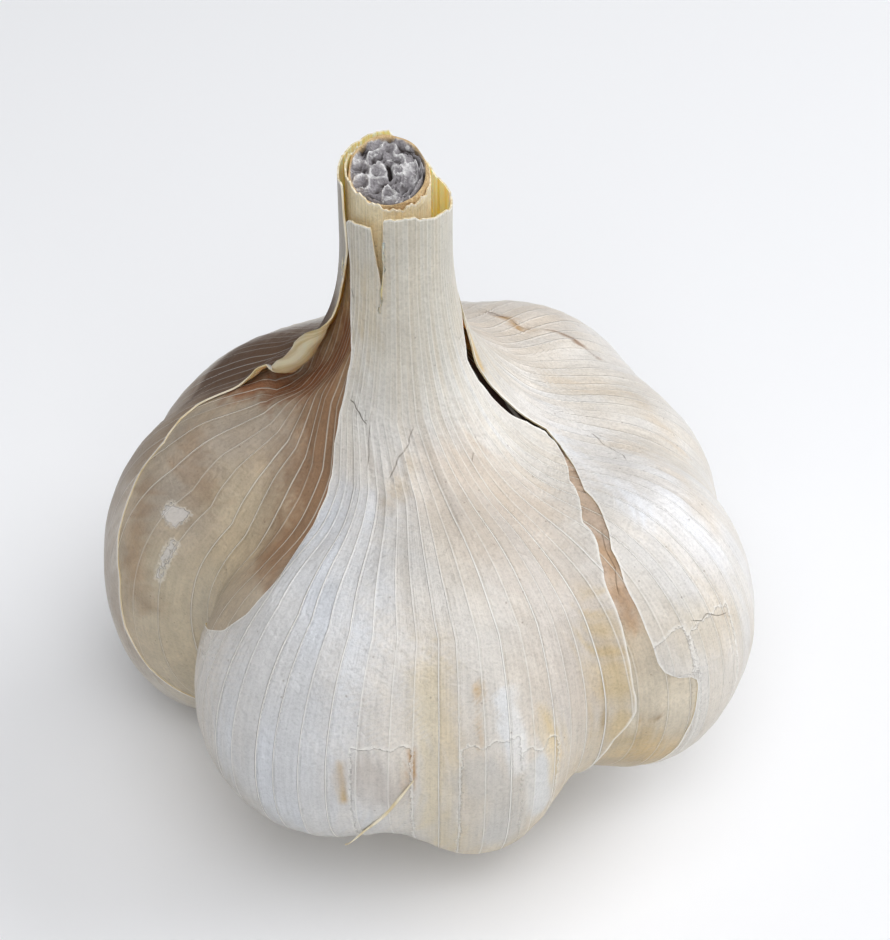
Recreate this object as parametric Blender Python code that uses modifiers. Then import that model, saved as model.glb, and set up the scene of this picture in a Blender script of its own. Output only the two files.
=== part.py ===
"""Elephant garlic: a dried bulb of eight cloves in papery leaf skins, with its cut neck and root plate.

The bulb stands upright on its root plate. Its outside is one smooth envelope, the level 0 of bulb_field:
eight leaning clove shapes and the neck, melted together the way dried skins stretch over them. Skins are
shells just inside that level, and cloves fill the room below them. A place on the bulb is given by its
bearing, in degrees about the upright axis (0 is +X, -90 is the front), and by how far down it lies, from 0
at the top of the neck to 1 at the middle of the root plate.
"""

import math
from collections import namedtuple

import bmesh
import bpy
import numpy as np
from mathutils import Vector

# Lengths are in millimetres and angles in degrees until a mesh is placed.
MM = 0.001

# The middle of the cloves, above the surface that the root plate stands on
BULB_CENTRE_HEIGHT = 30.0

# One clove: where it stands, how big its egg shape is, and how its top leans in to the neck
Clove = namedtuple("Clove", "name bearing reach rise depth width height lean")
CLOVES = (
    Clove("clove_front_left", -118, 32.5, 2.3, 15.4, 17.8, 19.6, 13),
    Clove("clove_front_right", -81, 28.8, 1.7, 14.3, 14.3, 23.9, 12.5),
    Clove("clove_right", -25, 29.5, 1.5, 17.3, 19.5, 22.4, 10),
    Clove("clove_back_right", 24.5, 29.7, -2.6, 14.9, 12.9, 22.6, 13),
    Clove("clove_back", 62.5, 32.6, 0.3, 14.9, 16.3, 23.6, 13),
    Clove("clove_rear", 103, 30.5, 0.5, 15.2, 15.8, 24.0, 14),
    Clove("clove_back_left", 142.5, 32.8, -0.3, 14.8, 16.2, 23.5, 13),
    Clove("clove_left", 176, 32.0, -2.3, 16.8, 14.5, 26.9, 6),
)
# What fills the middle between the cloves, an oval below their tips
CORE_RADIUS = 27.0
CORE_HEIGHT = 22.0
CORE_DROP = 1.5
NECK_CENTRE = (-5.4, 5.0)
NECK_RADIUS = 7.4
# How widely neighbouring shapes melt together: high on the shoulders, low down, and round the neck's foot
MELT_HIGH = 4.8
MELT_LOW = 3.0
MELT_NECK = 27.0


def clove_distance(x, y, z, clove):
    """Roughly how far a point lies outside one clove's leaning egg shape."""
    turn, lean = math.radians(clove.bearing), math.radians(clove.lean)
    out = x * math.cos(turn) + y * math.sin(turn) - clove.reach
    side = y * math.cos(turn) - x * math.sin(turn)
    up = z - clove.rise
    leant_out = out * math.cos(lean) + up * math.sin(lean)
    leant_up = up * math.cos(lean) - out * math.sin(lean)
    size = np.sqrt((leant_out / clove.depth) ** 2 + (side / clove.width) ** 2 + (leant_up / clove.height) ** 2)
    slope = np.sqrt(
        (leant_out / clove.depth**2) ** 2 + (side / clove.width**2) ** 2 + (leant_up / clove.height**2) ** 2
    )
    return size * (size - 1) / (slope + 1e-9)


def bulb_field(x, y, z):
    """Millimetres outside the bulb's envelope, below zero inside it."""
    low = 1 / (1 + np.exp((z - 2) / 5))
    melt = MELT_HIGH + (MELT_LOW - MELT_HIGH) * low
    shapes = [clove_distance(x, y, z, clove) for clove in CLOVES]
    core = np.sqrt((x**2 + y**2) / CORE_RADIUS**2 + ((z + CORE_DROP) / CORE_HEIGHT) ** 2)
    shapes.append((core - 1) * CORE_HEIGHT)
    shapes = np.stack(shapes)
    nearest = shapes.min(axis=0)
    body = nearest - melt * np.log(np.exp((nearest - shapes) / melt).sum(axis=0))
    below = np.minimum(z, 0)
    neck = np.sqrt((x - NECK_CENTRE[0]) ** 2 + (y - NECK_CENTRE[1]) ** 2 + below**2) - NECK_RADIUS
    share = np.clip(0.5 + 0.5 * (neck - body) / MELT_NECK, 0, 1)
    return neck + (body - neck) * share - MELT_NECK * share * (1 - share)


# A fan of rays reads the envelope: level ones down the neck, steep ones up to the shoulders, and then
# ones that turn down from the bulb's middle. How far down it lies sets each ray's start and slope.
FAN_DOWN = (0.0, 0.16, 0.2, 0.3, 0.5, 0.8, 1.0)
FAN_HEIGHT = (72.0, 41.6, 34.0, 16.0, 0.0, 4.0, 10.0)
FAN_SLOPE = (0.0, 0.0, 8.0, 30.0, 30.0, -40.0, -90.0)
FAN_TO_NECK = 30.0


def on_envelope(bearing, down, level):
    """Points in millimetres at a level of bulb_field, one for each bearing, down and level given."""
    bearing, down, level = np.broadcast_arrays(np.radians(bearing), down, level)
    start_z = np.interp(down, FAN_DOWN, FAN_HEIGHT)
    slope = np.radians(np.interp(down, FAN_DOWN, FAN_SLOPE))
    to_neck = np.where(down < FAN_DOWN[4], np.clip(start_z / FAN_TO_NECK, 0, 1), 0)
    start_x, start_y = NECK_CENTRE[0] * to_neck, NECK_CENTRE[1] * to_neck
    step = np.cos(slope) * np.cos(bearing), np.cos(slope) * np.sin(bearing), np.sin(slope)
    near, far = np.zeros(down.shape), np.full(down.shape, 65.0)
    for _ in range(24):
        middle = (near + far) / 2
        at = start_x + middle * step[0], start_y + middle * step[1], start_z + middle * step[2]
        inside = bulb_field(*at) < level
        near, far = np.where(inside, middle, near), np.where(inside, far, middle)
    return np.stack([start_x + near * step[0], start_y + near * step[1], start_z + near * step[2]], axis=-1)


def in_metres(bearing, down, level):
    """Points on the bulb as its meshes hold them."""
    return on_envelope(bearing, down, level) * MM


def linear(hex_colour):
    """Linear red, green and blue of a colour written as six hex digits."""
    parts = [int(hex_colour[i : i + 2], 16) / 255 for i in (0, 2, 4)]
    return [part / 12.92 if part <= 0.04045 else ((part + 0.055) / 1.055) ** 2.4 for part in parts]


def new_material(name, hex_colour, roughness):
    material = bpy.data.materials.new(name)
    material.use_nodes = True
    shader = material.node_tree.nodes["Principled BSDF"]
    shader.inputs["Base Color"].default_value = (*linear(hex_colour), 1.0)
    shader.inputs["Roughness"].default_value = roughness
    shader.inputs["Metallic"].default_value = 0.0
    return material


def new_object(name, shape, material, collection):
    """An object made from a bmesh whose zero is the bulb's middle, set at its height above the table."""
    mesh = bpy.data.meshes.new(name)
    shape.to_mesh(mesh)
    shape.free()
    mesh.materials.append(material)
    mesh.shade_smooth()
    mesh.set_sharp_from_angle(angle=math.radians(50))
    piece = bpy.data.objects.new(name, mesh)
    piece.location.z = BULB_CENTRE_HEIGHT * MM
    collection.objects.link(piece)
    return piece


def vertex_places(shape):
    return np.array([vertex.co[:] for vertex in shape.verts])


def move_vertices(shape, places):
    for vertex, place in zip(shape.verts, places):
        vertex.co = place


# Cloves. Each is an egg shape with a narrow tip, cut flat where its neighbours press on it.

# How much smaller a clove is than its melted shape
CLOVE_INSET = 2.2
# Its room below the envelope for the skins, and the extra at its foot, where they bunch
CLOVE_ROOM = 3.4
FOOT_ROOM = 1.6
FOOT_HEIGHTS = (-22.0, -15.0)
# Room between two cloves
CLOVE_GAP = 0.5
TIP_NARROWING = 0.35


def seam_bearing(clove, neighbour):
    """The bearing of the flat between two cloves, nearer the narrower one."""
    turn = (neighbour.bearing - clove.bearing + 180) % 360 - 180
    return clove.bearing + turn * clove.width / (clove.width + neighbour.width)


def pressed_in(places, centre):
    """Points moved towards a clove's middle until the skins have room over them."""
    for _ in range(12):
        room = CLOVE_ROOM + np.interp(places[:, 2], FOOT_HEIGHTS, (FOOT_ROOM, 0))
        excess = np.clip(bulb_field(*places.T) + room, 0, None)
        inward = centre - places
        places = places + inward / np.linalg.norm(inward, axis=1, keepdims=True) * excess[:, None]
    return places


def cut_flat(shape, bearing, keep):
    """Cuts a clove along the upright plane at a bearing and keeps the side at the greater or lesser bearing."""
    turn = math.radians(bearing)
    away = Vector((math.sin(turn), -math.cos(turn), 0)) * keep
    cut = bmesh.ops.bisect_plane(
        shape,
        geom=shape.verts[:] + shape.edges[:] + shape.faces[:],
        plane_co=-away * CLOVE_GAP / 2 * MM,
        plane_no=away,
        clear_outer=True,
    )
    rim = [item for item in cut["geom_cut"] if isinstance(item, bmesh.types.BMEdge)]
    if rim:
        bmesh.ops.contextual_create(shape, geom=rim)


def make_clove(clove, before, after, material, collection):
    shape = bmesh.new()
    bmesh.ops.create_uvsphere(shape, u_segments=16, v_segments=9, radius=1.0)
    x, y, z = vertex_places(shape).T
    narrow = 1 - TIP_NARROWING * np.clip(z, 0, 1) ** 3
    x = x * narrow * (clove.depth - CLOVE_INSET)
    y = y * narrow * (clove.width - CLOVE_INSET)
    z = z * (clove.height - CLOVE_INSET)
    lean, turn = math.radians(clove.lean), math.radians(clove.bearing)
    out = x * math.cos(lean) - z * math.sin(lean) + clove.reach
    up = x * math.sin(lean) + z * math.cos(lean) + clove.rise
    x, y = out * math.cos(turn) - y * math.sin(turn), out * math.sin(turn) + y * math.cos(turn)
    centre = clove.reach * math.cos(turn), clove.reach * math.sin(turn), clove.rise
    move_vertices(shape, pressed_in(np.stack([x, y, up], axis=1), np.array(centre)) * MM)
    cut_flat(shape, seam_bearing(clove, before), 1)
    cut_flat(shape, seam_bearing(clove, after), -1)
    bmesh.ops.recalc_face_normals(shape, faces=shape.faces)
    return new_object(clove.name, shape, material, collection)


# The dried flower stalk, from the root plate up through the neck to its slanting cut

STALK_RADIUS = 4.7
STALK_FOOT = -18.8
STALK_FOOT_RADIUS = 6.5
STALK_TOP = 64.8
# The stalk isn't in the middle of the neck
STALK_OFFSET = -0.9
# Rise of the cut for each millimetre towards the back
CUT_SLANT = 0.45
PITH_DEPTH = 1.0


def make_stalk(material, collection):
    shape = bmesh.new()
    bmesh.ops.create_cone(shape, cap_ends=True, segments=24, radius1=1, radius2=1, depth=1)
    sides = [edge for edge in shape.edges if abs(edge.verts[0].co.z - edge.verts[1].co.z) > 0.5]
    bmesh.ops.subdivide_edges(shape, edges=sides, cuts=5)
    top = [face for face in shape.faces if face.normal.z > 0.5]
    bmesh.ops.inset_region(shape, faces=top, thickness=0.25)
    for vertex in top[0].verts:
        vertex.co.z -= PITH_DEPTH / (STALK_TOP - STALK_FOOT)
    x, y, z = vertex_places(shape).T
    share = z + 0.5
    height = STALK_FOOT + share * (STALK_TOP - STALK_FOOT)
    radius = np.interp(height, (STALK_FOOT, -5, 40), (STALK_FOOT_RADIUS, STALK_RADIUS, STALK_RADIUS))
    wave = 1 + 0.025 * np.cos(3 * np.arctan2(y, x) + 1) + 0.015 * np.cos(7 * np.arctan2(y, x))
    to_neck = np.clip(height / FAN_TO_NECK, 0, 1)
    to_neck = to_neck**2 * (3 - 2 * to_neck)
    height = height + np.clip((share - 0.8) / 0.2, 0, 1) * CUT_SLANT * y * radius
    centre_x, centre_y = (NECK_CENTRE[0] + STALK_OFFSET) * to_neck, NECK_CENTRE[1] * to_neck
    places = np.stack([centre_x + x * radius * wave, centre_y + y * radius * wave, height], axis=1)
    move_vertices(shape, places * MM)
    return new_object("flower_stalk", shape, material, collection)


# The root plate: a hard disc with the stubs of its cut roots all round, flat below where it stands

PLATE_TOP = -19.1
PLATE_FLAT_RADIUS = 8.6
ROOT_STUBS = 18
STUB_HEIGHT = 0.7
# Share of the way up from the flat, and the radius there
PLATE_PROFILE = ((0.0, PLATE_FLAT_RADIUS), (0.2, 10.0), (0.5, 10.8), (0.75, 10.4), (1.0, 6.0))


def make_root_plate(material, collection):
    shape = bmesh.new()
    bmesh.ops.create_cone(shape, cap_ends=True, segments=4 * ROOT_STUBS, radius1=1, radius2=1, depth=1)
    sides = [edge for edge in shape.edges if abs(edge.verts[0].co.z - edge.verts[1].co.z) > 0.5]
    bmesh.ops.subdivide_edges(shape, edges=sides, cuts=3)
    x, y, z = vertex_places(shape).T
    share = z + 0.5
    stub = STUB_HEIGHT * np.cos(ROOT_STUBS * np.arctan2(y, x)) * np.sin(np.pi * np.clip(share, 0, 1))
    radius = np.interp(share, *zip(*PLATE_PROFILE)) + stub
    height = -BULB_CENTRE_HEIGHT + share * (PLATE_TOP + BULB_CENTRE_HEIGHT)
    move_vertices(shape, np.stack([x * radius, y * radius, height], axis=1) * MM)
    return new_object("root_plate", shape, material, collection)


# Leaf skins. Each is a sheet of rows and columns laid on the envelope and thickened inward.

SKIN_THICKNESS = 0.65
INNER_LEVEL = -1.6
# Raised veins run from the neck to the root plate
VEIN_SPACING = 8.2
VEIN_HEIGHT = 0.45

# Rows of a skin, closer together where the bulb's surface turns
ROWS = (0, 0.06, 0.12, 0.165, 0.2, 0.235, 0.275, 0.32, 0.365, 0.4, 0.435, 0.475, 0.52, 0.57, 0.62, 0.665, 0.7,
        0.728, 0.754, 0.78, 0.806, 0.84, 0.9)
# Above this a skin is stretched up to its rim
RIM_END = 0.165

# How far down the cut rim of the neck lies at each bearing, and the rim of the inner skin
OUTER_RIM = ((-180, 0.033), (-152, 0.034), (-125, 0.048), (-109, 0.052), (-75, 0.05), (-40, 0.054), (-19, 0.048),
             (10, 0.045), (45, 0.038), (90, 0.035), (140, 0.03), (180, 0.033))
INNER_RIM = ((-180, 0.03), (-90, 0.042), (0, 0.038), (90, 0.028), (180, 0.03))
# The notch in the front of the neck
NOTCH_BEARING = -96.5
NOTCH_WIDTH = 8.0
NOTCH_END = 0.113

# Torn edges, as how far down and the bearing there. The front skin ends beside the open window on the left
# and along the split on the right, and the back skin begins past them.
FRONT_LEFT_EDGE = ((0, -153), (0.06, -149), (0.095, -142), (0.135, -139), (0.165, -131), (0.22, -129),
                   (0.26, -133), (0.34, -133), (0.41, -132), (0.47, -129), (0.52, -131), (0.545, -135),
                   (0.58, -147), (0.61, -142), (0.65, -137), (0.9, -134))
FRONT_RIGHT_EDGE = ((0, 10), (0.13, 7), (0.15, 3), (0.168, -9), (0.182, -13), (0.223, -15), (0.25, -12),
                    (0.292, -10), (0.338, -15), (0.362, -29), (0.4, -41), (0.48, -48), (0.545, -50), (0.615, -51),
                    (0.65, -54), (0.7, -56), (0.9, -58))
BACK_RIGHT_EDGE = ((0, 15), (0.13, 12), (0.16, 8), (0.19, 2), (0.212, 1), (0.238, -2), (0.278, -5), (0.325, -8),
                   (0.34, -10), (0.375, -29), (0.413, -37), (0.45, -42), (0.508, -45), (0.585, -45), (0.605, -39),
                   (0.67, -40), (0.9, -42))
BACK_LEFT_EDGE = ((0, 203), (0.06, 207), (0.09, 212), (0.128, 201), (0.173, 192), (0.223, 181), (0.26, 167),
                  (0.357, 167), (0.445, 170), (0.475, 175), (0.512, 179), (0.545, 182), (0.583, 184), (0.625, 187),
                  (0.677, 188), (0.718, 191), (0.763, 194), (0.8, 198), (0.9, 203))

def edge_at(edge, down):
    """The bearing of a torn edge at each value of down."""
    return np.interp(down, *zip(*edge))


def rim_at(rim, bearing):
    """How far down a rim lies at each bearing."""
    return np.interp((bearing + 180) % 360 - 180, *zip(*rim))


def curl(degrees_in, height, width):
    """How far a torn edge curls up, some degrees in from it."""
    return height * np.exp(-np.clip(degrees_in, 0, None) / width)


def skin_grid(columns):
    """A flat grid of columns and rows, with how far across each vertex is and the row that it is in."""
    shape = bmesh.new()
    bmesh.ops.create_grid(shape, x_segments=columns, y_segments=len(ROWS) - 1, size=1.0)
    across, row = ((vertex_places(shape)[:, :2] + 1) / 2).T
    row = np.array(ROWS)[np.round(row * (len(ROWS) - 1)).astype(int)]
    return shape, across, row


def stretch(row, rim):
    """Rows moved so that the first lies on a rim."""
    return np.where(row < RIM_END, RIM_END - (RIM_END - row) / RIM_END * (RIM_END - rim), row)


def veins(across, columns, down):
    """Every other column stands up as a vein, fading out at the rim and at the hem."""
    fade = np.interp(down, (0.0, 0.15, 0.3, 0.5, 0.75, 0.9), (0.3, 0.35, 0.5, 1.0, 1.0, 0.2))
    return np.where(np.round(across * columns) % 2 == 0, VEIN_HEIGHT, 0.0) * fade


def finish_skin(name, shape, material, collection):
    bmesh.ops.recalc_face_normals(shape, faces=shape.faces)
    piece = new_object(name, shape, material, collection)
    thickness = piece.modifiers.new("thickness", "SOLIDIFY")
    thickness.thickness = SKIN_THICKNESS * MM
    thickness.offset = -1
    return piece


def make_front_skin(material, collection):
    columns = 2 * round(100 / VEIN_SPACING)
    shape, across, row = skin_grid(columns)
    middle = edge_at(FRONT_LEFT_EDGE, row) * (1 - across) + edge_at(FRONT_RIGHT_EDGE, row) * across
    notch = np.clip(1 - np.abs(middle - NOTCH_BEARING) / NOTCH_WIDTH, 0, 1)
    rim = rim_at(OUTER_RIM, middle)
    down = stretch(row, rim + (NOTCH_END - rim) * notch)
    left, right = edge_at(FRONT_LEFT_EDGE, down), edge_at(FRONT_RIGHT_EDGE, down)
    bearing = left + (right - left) * across
    raised = curl(bearing - left, 0.9, 3) * np.interp(down, (0.15, 0.25, 0.55, 0.65), (0, 1, 1, 0))
    raised = raised + curl(right - bearing, 0.5, 3) * np.interp(down, (0.38, 0.45, 0.6, 0.7), (0, 1, 1, 0))
    move_vertices(shape, in_metres(bearing, down, raised + veins(across, columns, down)))
    return finish_skin("outer_skin_front", shape, material, collection)


def make_back_skin(material, collection):
    columns = 2 * round(232 / VEIN_SPACING)
    shape, across, row = skin_grid(columns)
    middle = edge_at(BACK_RIGHT_EDGE, row) * (1 - across) + edge_at(BACK_LEFT_EDGE, row) * across
    down = stretch(row, rim_at(OUTER_RIM, middle))
    right, left = edge_at(BACK_RIGHT_EDGE, down), edge_at(BACK_LEFT_EDGE, down)
    bearing = right + (left - right) * across
    raised = curl(left - bearing, 1.8, 5) * np.interp(down, (0.14, 0.2, 0.36, 0.46), (0, 1, 1, 0))
    move_vertices(shape, in_metres(bearing, down, raised + veins(across, columns, down)))
    return finish_skin("outer_skin_back", shape, material, collection)


def make_inner_skin(material, collection):
    """The whole leaf inside the other two, tight round the stalk in the neck."""
    columns = 52
    shape, across, row = skin_grid(columns)
    bearing = across * 360 - 180
    around = np.radians(bearing)
    ragged = 0.003 * np.sin(7 * around) + 0.0025 * np.sin(17 * around + 1)
    down = stretch(row, rim_at(INNER_RIM, bearing) + np.where(row == 0, ragged, 0))
    beside_stalk = -1.75 - 0.8 * np.cos(around)
    in_neck = np.interp(down, (0.12, 0.26), (1, 0))
    level = beside_stalk * in_neck + INNER_LEVEL * (1 - in_neck)
    move_vertices(shape, in_metres(bearing, down, level))
    bmesh.ops.remove_doubles(shape, verts=shape.verts, dist=0.00002)
    return finish_skin("inner_skin", shape, material, collection)


def main():
    for thing in list(bpy.data.objects):
        bpy.data.objects.remove(thing)
    garlic = bpy.data.collections.new("elephant_garlic")
    bpy.context.scene.collection.children.link(garlic)

    white_skin = new_material("dried white leaf skin", "d9cfc3", 0.55)
    tan_skin = new_material("dried tan leaf skin", "bfa58c", 0.6)
    clove_flesh = new_material("clove in its own pink-brown skin", "c9ab92", 0.5)
    dry_stalk = new_material("grey pith of the cut stalk", "8a8078", 0.9)
    root_wood = new_material("dry corky root plate", "a58a6a", 0.9)

    for index, clove in enumerate(CLOVES):
        before, after = CLOVES[index - 1], CLOVES[(index + 1) % len(CLOVES)]
        make_clove(clove, before, after, clove_flesh, garlic)
    make_stalk(dry_stalk, garlic)
    make_root_plate(root_wood, garlic)
    make_inner_skin(tan_skin, garlic)
    make_front_skin(white_skin, garlic)
    make_back_skin(white_skin, garlic)


main()
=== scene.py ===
# %% [markdown]
# # Elephant garlic
#
# A dried bulb stands on its root plate. Its solids come from the CAD model, which fixes the size and the
# place of every piece. This lesson dresses them: it remakes the papery leaf skins with their veins and torn
# edges, the spongy end of the cut stalk and the corky root plate, gives each a finish, and lights the bulb.

import math
from collections import namedtuple

import bpy
import numpy as np
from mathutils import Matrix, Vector


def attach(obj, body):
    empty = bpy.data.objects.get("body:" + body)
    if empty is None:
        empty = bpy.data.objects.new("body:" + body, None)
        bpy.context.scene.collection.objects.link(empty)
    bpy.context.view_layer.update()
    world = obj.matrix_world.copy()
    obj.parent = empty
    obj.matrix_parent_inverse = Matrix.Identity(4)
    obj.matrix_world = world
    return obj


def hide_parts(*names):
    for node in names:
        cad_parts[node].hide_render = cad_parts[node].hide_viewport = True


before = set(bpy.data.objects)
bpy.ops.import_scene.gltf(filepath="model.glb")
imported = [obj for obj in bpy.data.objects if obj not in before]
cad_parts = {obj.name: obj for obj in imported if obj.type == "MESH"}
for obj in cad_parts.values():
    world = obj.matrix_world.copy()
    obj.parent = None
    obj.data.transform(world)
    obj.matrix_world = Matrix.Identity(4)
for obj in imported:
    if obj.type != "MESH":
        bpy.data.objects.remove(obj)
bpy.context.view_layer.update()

# %% [markdown]
# ## The camera
#
# The bulb is seen from above, 43 degrees over the horizon, and from 34 cm away. A long lens frames it
# tightly. The camera is made first, so that each later step can be judged through it.

# %% Place the camera
MM = 0.001
IMAGE_HEIGHT = 940
VIEW_ELEVATION = 43.39
VIEW_DISTANCE = 340 * MM
FOCAL_PIXELS = 2345
# Where the point that the camera looks at lies in the image, from its middle
AIM_OFFSET = (-7.8, 94.9)
BULB_MIDDLE = Vector((0, 0, 30 * MM))


def make_camera(aim):
    bpy.ops.object.camera_add()
    camera = bpy.context.object
    camera.name = "view"
    elevation = math.radians(VIEW_ELEVATION)
    towards = Vector((0, math.cos(elevation), -math.sin(elevation)))
    camera.location = aim - towards * VIEW_DISTANCE
    camera.rotation_euler = (math.pi / 2 - elevation, 0, 0)
    camera.data.lens = FOCAL_PIXELS / IMAGE_HEIGHT * camera.data.sensor_width
    camera.data.shift_x = -AIM_OFFSET[0] / IMAGE_HEIGHT
    camera.data.shift_y = AIM_OFFSET[1] / IMAGE_HEIGHT
    camera.data.clip_start = 0.01
    bpy.context.scene.camera = camera
    return camera


camera = make_camera(BULB_MIDDLE)
print("camera at", [round(v, 3) for v in camera.location], "lens", round(camera.data.lens, 1), "mm")

# %% [markdown]
# ## The shape under the skins
#
# Dried leaves cling to the cloves like shrunken paper, so the outside of the bulb is one smooth surface
# stretched over eight leaning egg shapes and the neck. It could be sculpted, but a formula is kinder here:
# every skin is then a sheet laid on the same surface, a little higher or a little deeper, so the skins
# keep their order. The numbers are the ones that the solids were made from.

# %% Write the bulb's surface as a formula
Clove = namedtuple("Clove", "name bearing reach rise depth width height lean")
CLOVES = (
    Clove("clove_front_left", -118, 32.5, 2.3, 15.4, 17.8, 19.6, 13),
    Clove("clove_front_right", -81, 28.8, 1.7, 14.3, 14.3, 23.9, 12.5),
    Clove("clove_right", -25, 29.5, 1.5, 17.3, 19.5, 22.4, 10),
    Clove("clove_back_right", 24.5, 29.7, -2.6, 14.9, 12.9, 22.6, 13),
    Clove("clove_back", 62.5, 32.6, 0.3, 14.9, 16.3, 23.6, 13),
    Clove("clove_rear", 103, 30.5, 0.5, 15.2, 15.8, 24.0, 14),
    Clove("clove_back_left", 142.5, 32.8, -0.3, 14.8, 16.2, 23.5, 13),
    Clove("clove_left", 176, 32.0, -2.3, 16.8, 14.5, 26.9, 6),
)
CORE_RADIUS, CORE_HEIGHT, CORE_DROP = 27.0, 22.0, 1.5
NECK_CENTRE, NECK_RADIUS = (-5.4, 5.0), 7.4
MELT_HIGH, MELT_LOW, MELT_NECK = 4.8, 3.0, 27.0
BULB_CENTRE_HEIGHT = 30.0


def clove_distance(x, y, z, clove):
    """Roughly how far a point lies outside one clove's leaning egg shape."""
    turn, lean = math.radians(clove.bearing), math.radians(clove.lean)
    out = x * math.cos(turn) + y * math.sin(turn) - clove.reach
    side = y * math.cos(turn) - x * math.sin(turn)
    up = z - clove.rise
    leant_out = out * math.cos(lean) + up * math.sin(lean)
    leant_up = up * math.cos(lean) - out * math.sin(lean)
    size = np.sqrt(
        (leant_out / clove.depth) ** 2 + (side / clove.width) ** 2 + (leant_up / clove.height) ** 2
    )
    slope = np.sqrt(
        (leant_out / clove.depth**2) ** 2 + (side / clove.width**2) ** 2 + (leant_up / clove.height**2) ** 2
    )
    return size * (size - 1) / (slope + 1e-9)


def bulb_field(x, y, z):
    """Millimetres outside the bulb's surface, below zero inside it."""
    melt = MELT_HIGH + (MELT_LOW - MELT_HIGH) / (1 + np.exp((z - 2) / 5))
    core = np.sqrt((x**2 + y**2) / CORE_RADIUS**2 + ((z + CORE_DROP) / CORE_HEIGHT) ** 2)
    shapes = np.stack([clove_distance(x, y, z, clove) for clove in CLOVES] + [(core - 1) * CORE_HEIGHT])
    nearest = shapes.min(axis=0)
    body = nearest - melt * np.log(np.exp((nearest - shapes) / melt).sum(axis=0))
    below = np.minimum(z, 0)
    neck = np.sqrt((x - NECK_CENTRE[0]) ** 2 + (y - NECK_CENTRE[1]) ** 2 + below**2) - NECK_RADIUS
    share = np.clip(0.5 + 0.5 * (neck - body) / MELT_NECK, 0, 1)
    return neck + (body - neck) * share - MELT_NECK * share * (1 - share)


print("the bulb's middle is", round(-float(bulb_field(0.0, 0.0, 0.0)), 1), "mm deep")

# %% [markdown]
# A leaf runs from the neck over the shoulder to the root plate, and so do its veins. So a place on the bulb
# is given the same way: its bearing, in degrees about the upright axis with -90 at the front, and how far
# down it is, from 0 at the top of the neck to 1 at the root plate. A fan of rays finds the point.

# %% Find points on the surface
FAN_DOWN = (0.0, 0.16, 0.2, 0.3, 0.5, 0.8, 1.0)
FAN_HEIGHT = (72.0, 41.6, 34.0, 16.0, 0.0, 4.0, 10.0)
FAN_SLOPE = (0.0, 0.0, 8.0, 30.0, 30.0, -40.0, -90.0)
FAN_TO_NECK = 30.0


def on_bulb(bearing, down, level):
    """Points in metres at a level of bulb_field, one for each bearing, down and level given."""
    bearing, down, level = np.broadcast_arrays(np.radians(bearing), down, level)
    start_z = np.interp(down, FAN_DOWN, FAN_HEIGHT)
    slope = np.radians(np.interp(down, FAN_DOWN, FAN_SLOPE))
    to_neck = np.where(down < FAN_DOWN[4], np.clip(start_z / FAN_TO_NECK, 0, 1), 0)
    start_x, start_y = NECK_CENTRE[0] * to_neck, NECK_CENTRE[1] * to_neck
    step = np.cos(slope) * np.cos(bearing), np.cos(slope) * np.sin(bearing), np.sin(slope)
    near, far = np.zeros(down.shape), np.full(down.shape, 65.0)
    for _ in range(24):
        middle = (near + far) / 2
        at = start_x + middle * step[0], start_y + middle * step[1], start_z + middle * step[2]
        inside = bulb_field(*at) < level
        near, far = np.where(inside, middle, near), np.where(inside, far, middle)
    height = start_z + near * step[2] + BULB_CENTRE_HEIGHT
    return np.stack([start_x + near * step[0], start_y + near * step[1], height], axis=-1) * MM


def mm_per_degree(bearing, down):
    """How wide one degree of bearing is on the surface."""
    return np.linalg.norm(on_bulb(bearing + 0.5, down, 0.0) - on_bulb(bearing - 0.5, down, 0.0), axis=-1) / MM


def even_rows(count, bearing, top, bottom):
    """Values of down that lie evenly along the surface at one bearing."""
    down = np.linspace(top, bottom, 400)
    steps = np.linalg.norm(np.diff(on_bulb(bearing, down, 0.0), axis=0), axis=1)
    length = np.concatenate([[0], np.cumsum(steps)])
    return np.interp(np.linspace(0, length[-1], count), length, down)


print("at the widest, one degree is", round(float(mm_per_degree(-90.0, 0.55)), 2), "mm")

# %% [markdown]
# ## Chance, kept in hand
#
# Nothing on a plant repeats. Small wanderings come from smooth random numbers on a lattice, which are
# seeded, so each run gives the same bulb.

# %% Make smooth random numbers
def wander(u, v, seed):
    """Smooth random values from -1 to 1, with one lattice point for each whole number."""
    lattice = np.random.default_rng(seed).uniform(-1, 1, (128, 128))
    u, v = np.broadcast_arrays(np.asarray(u, float), np.asarray(v, float))
    left, low = np.floor(u).astype(int), np.floor(v).astype(int)
    s, t = u - left, v - low
    s, t = s * s * (3 - 2 * s), t * t * (3 - 2 * t)
    corner = [lattice[(left + i) % 128, (low + j) % 128] for i in (0, 1) for j in (0, 1)]
    return (corner[0] * (1 - t) + corner[1] * t) * (1 - s) + (corner[2] * (1 - t) + corner[3] * t) * s


print("three random values:", np.round(wander(np.array([0.5, 3.2, 9.7]), 0.3, 1), 2))

# %% [markdown]
# ## Colours and materials
#
# Colours are written as they look on a screen, six hex digits, and one function turns them into the linear
# light that the shader works in. Another adds a node with its settings and its links, which is all
# that a material is made of. A colour is handed to it as its six digits. The nodes and settings that come
# up most have short names.

# %% Write colours and nodes
def linear(hex_colour):
    """Linear red, green and blue of a colour written as six hex digits."""
    parts = [int(hex_colour[i : i + 2], 16) / 255 for i in (0, 2, 4)]
    return [part / 12.92 if part <= 0.04045 else ((part + 0.055) / 1.055) ** 2.4 for part in parts]


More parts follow.
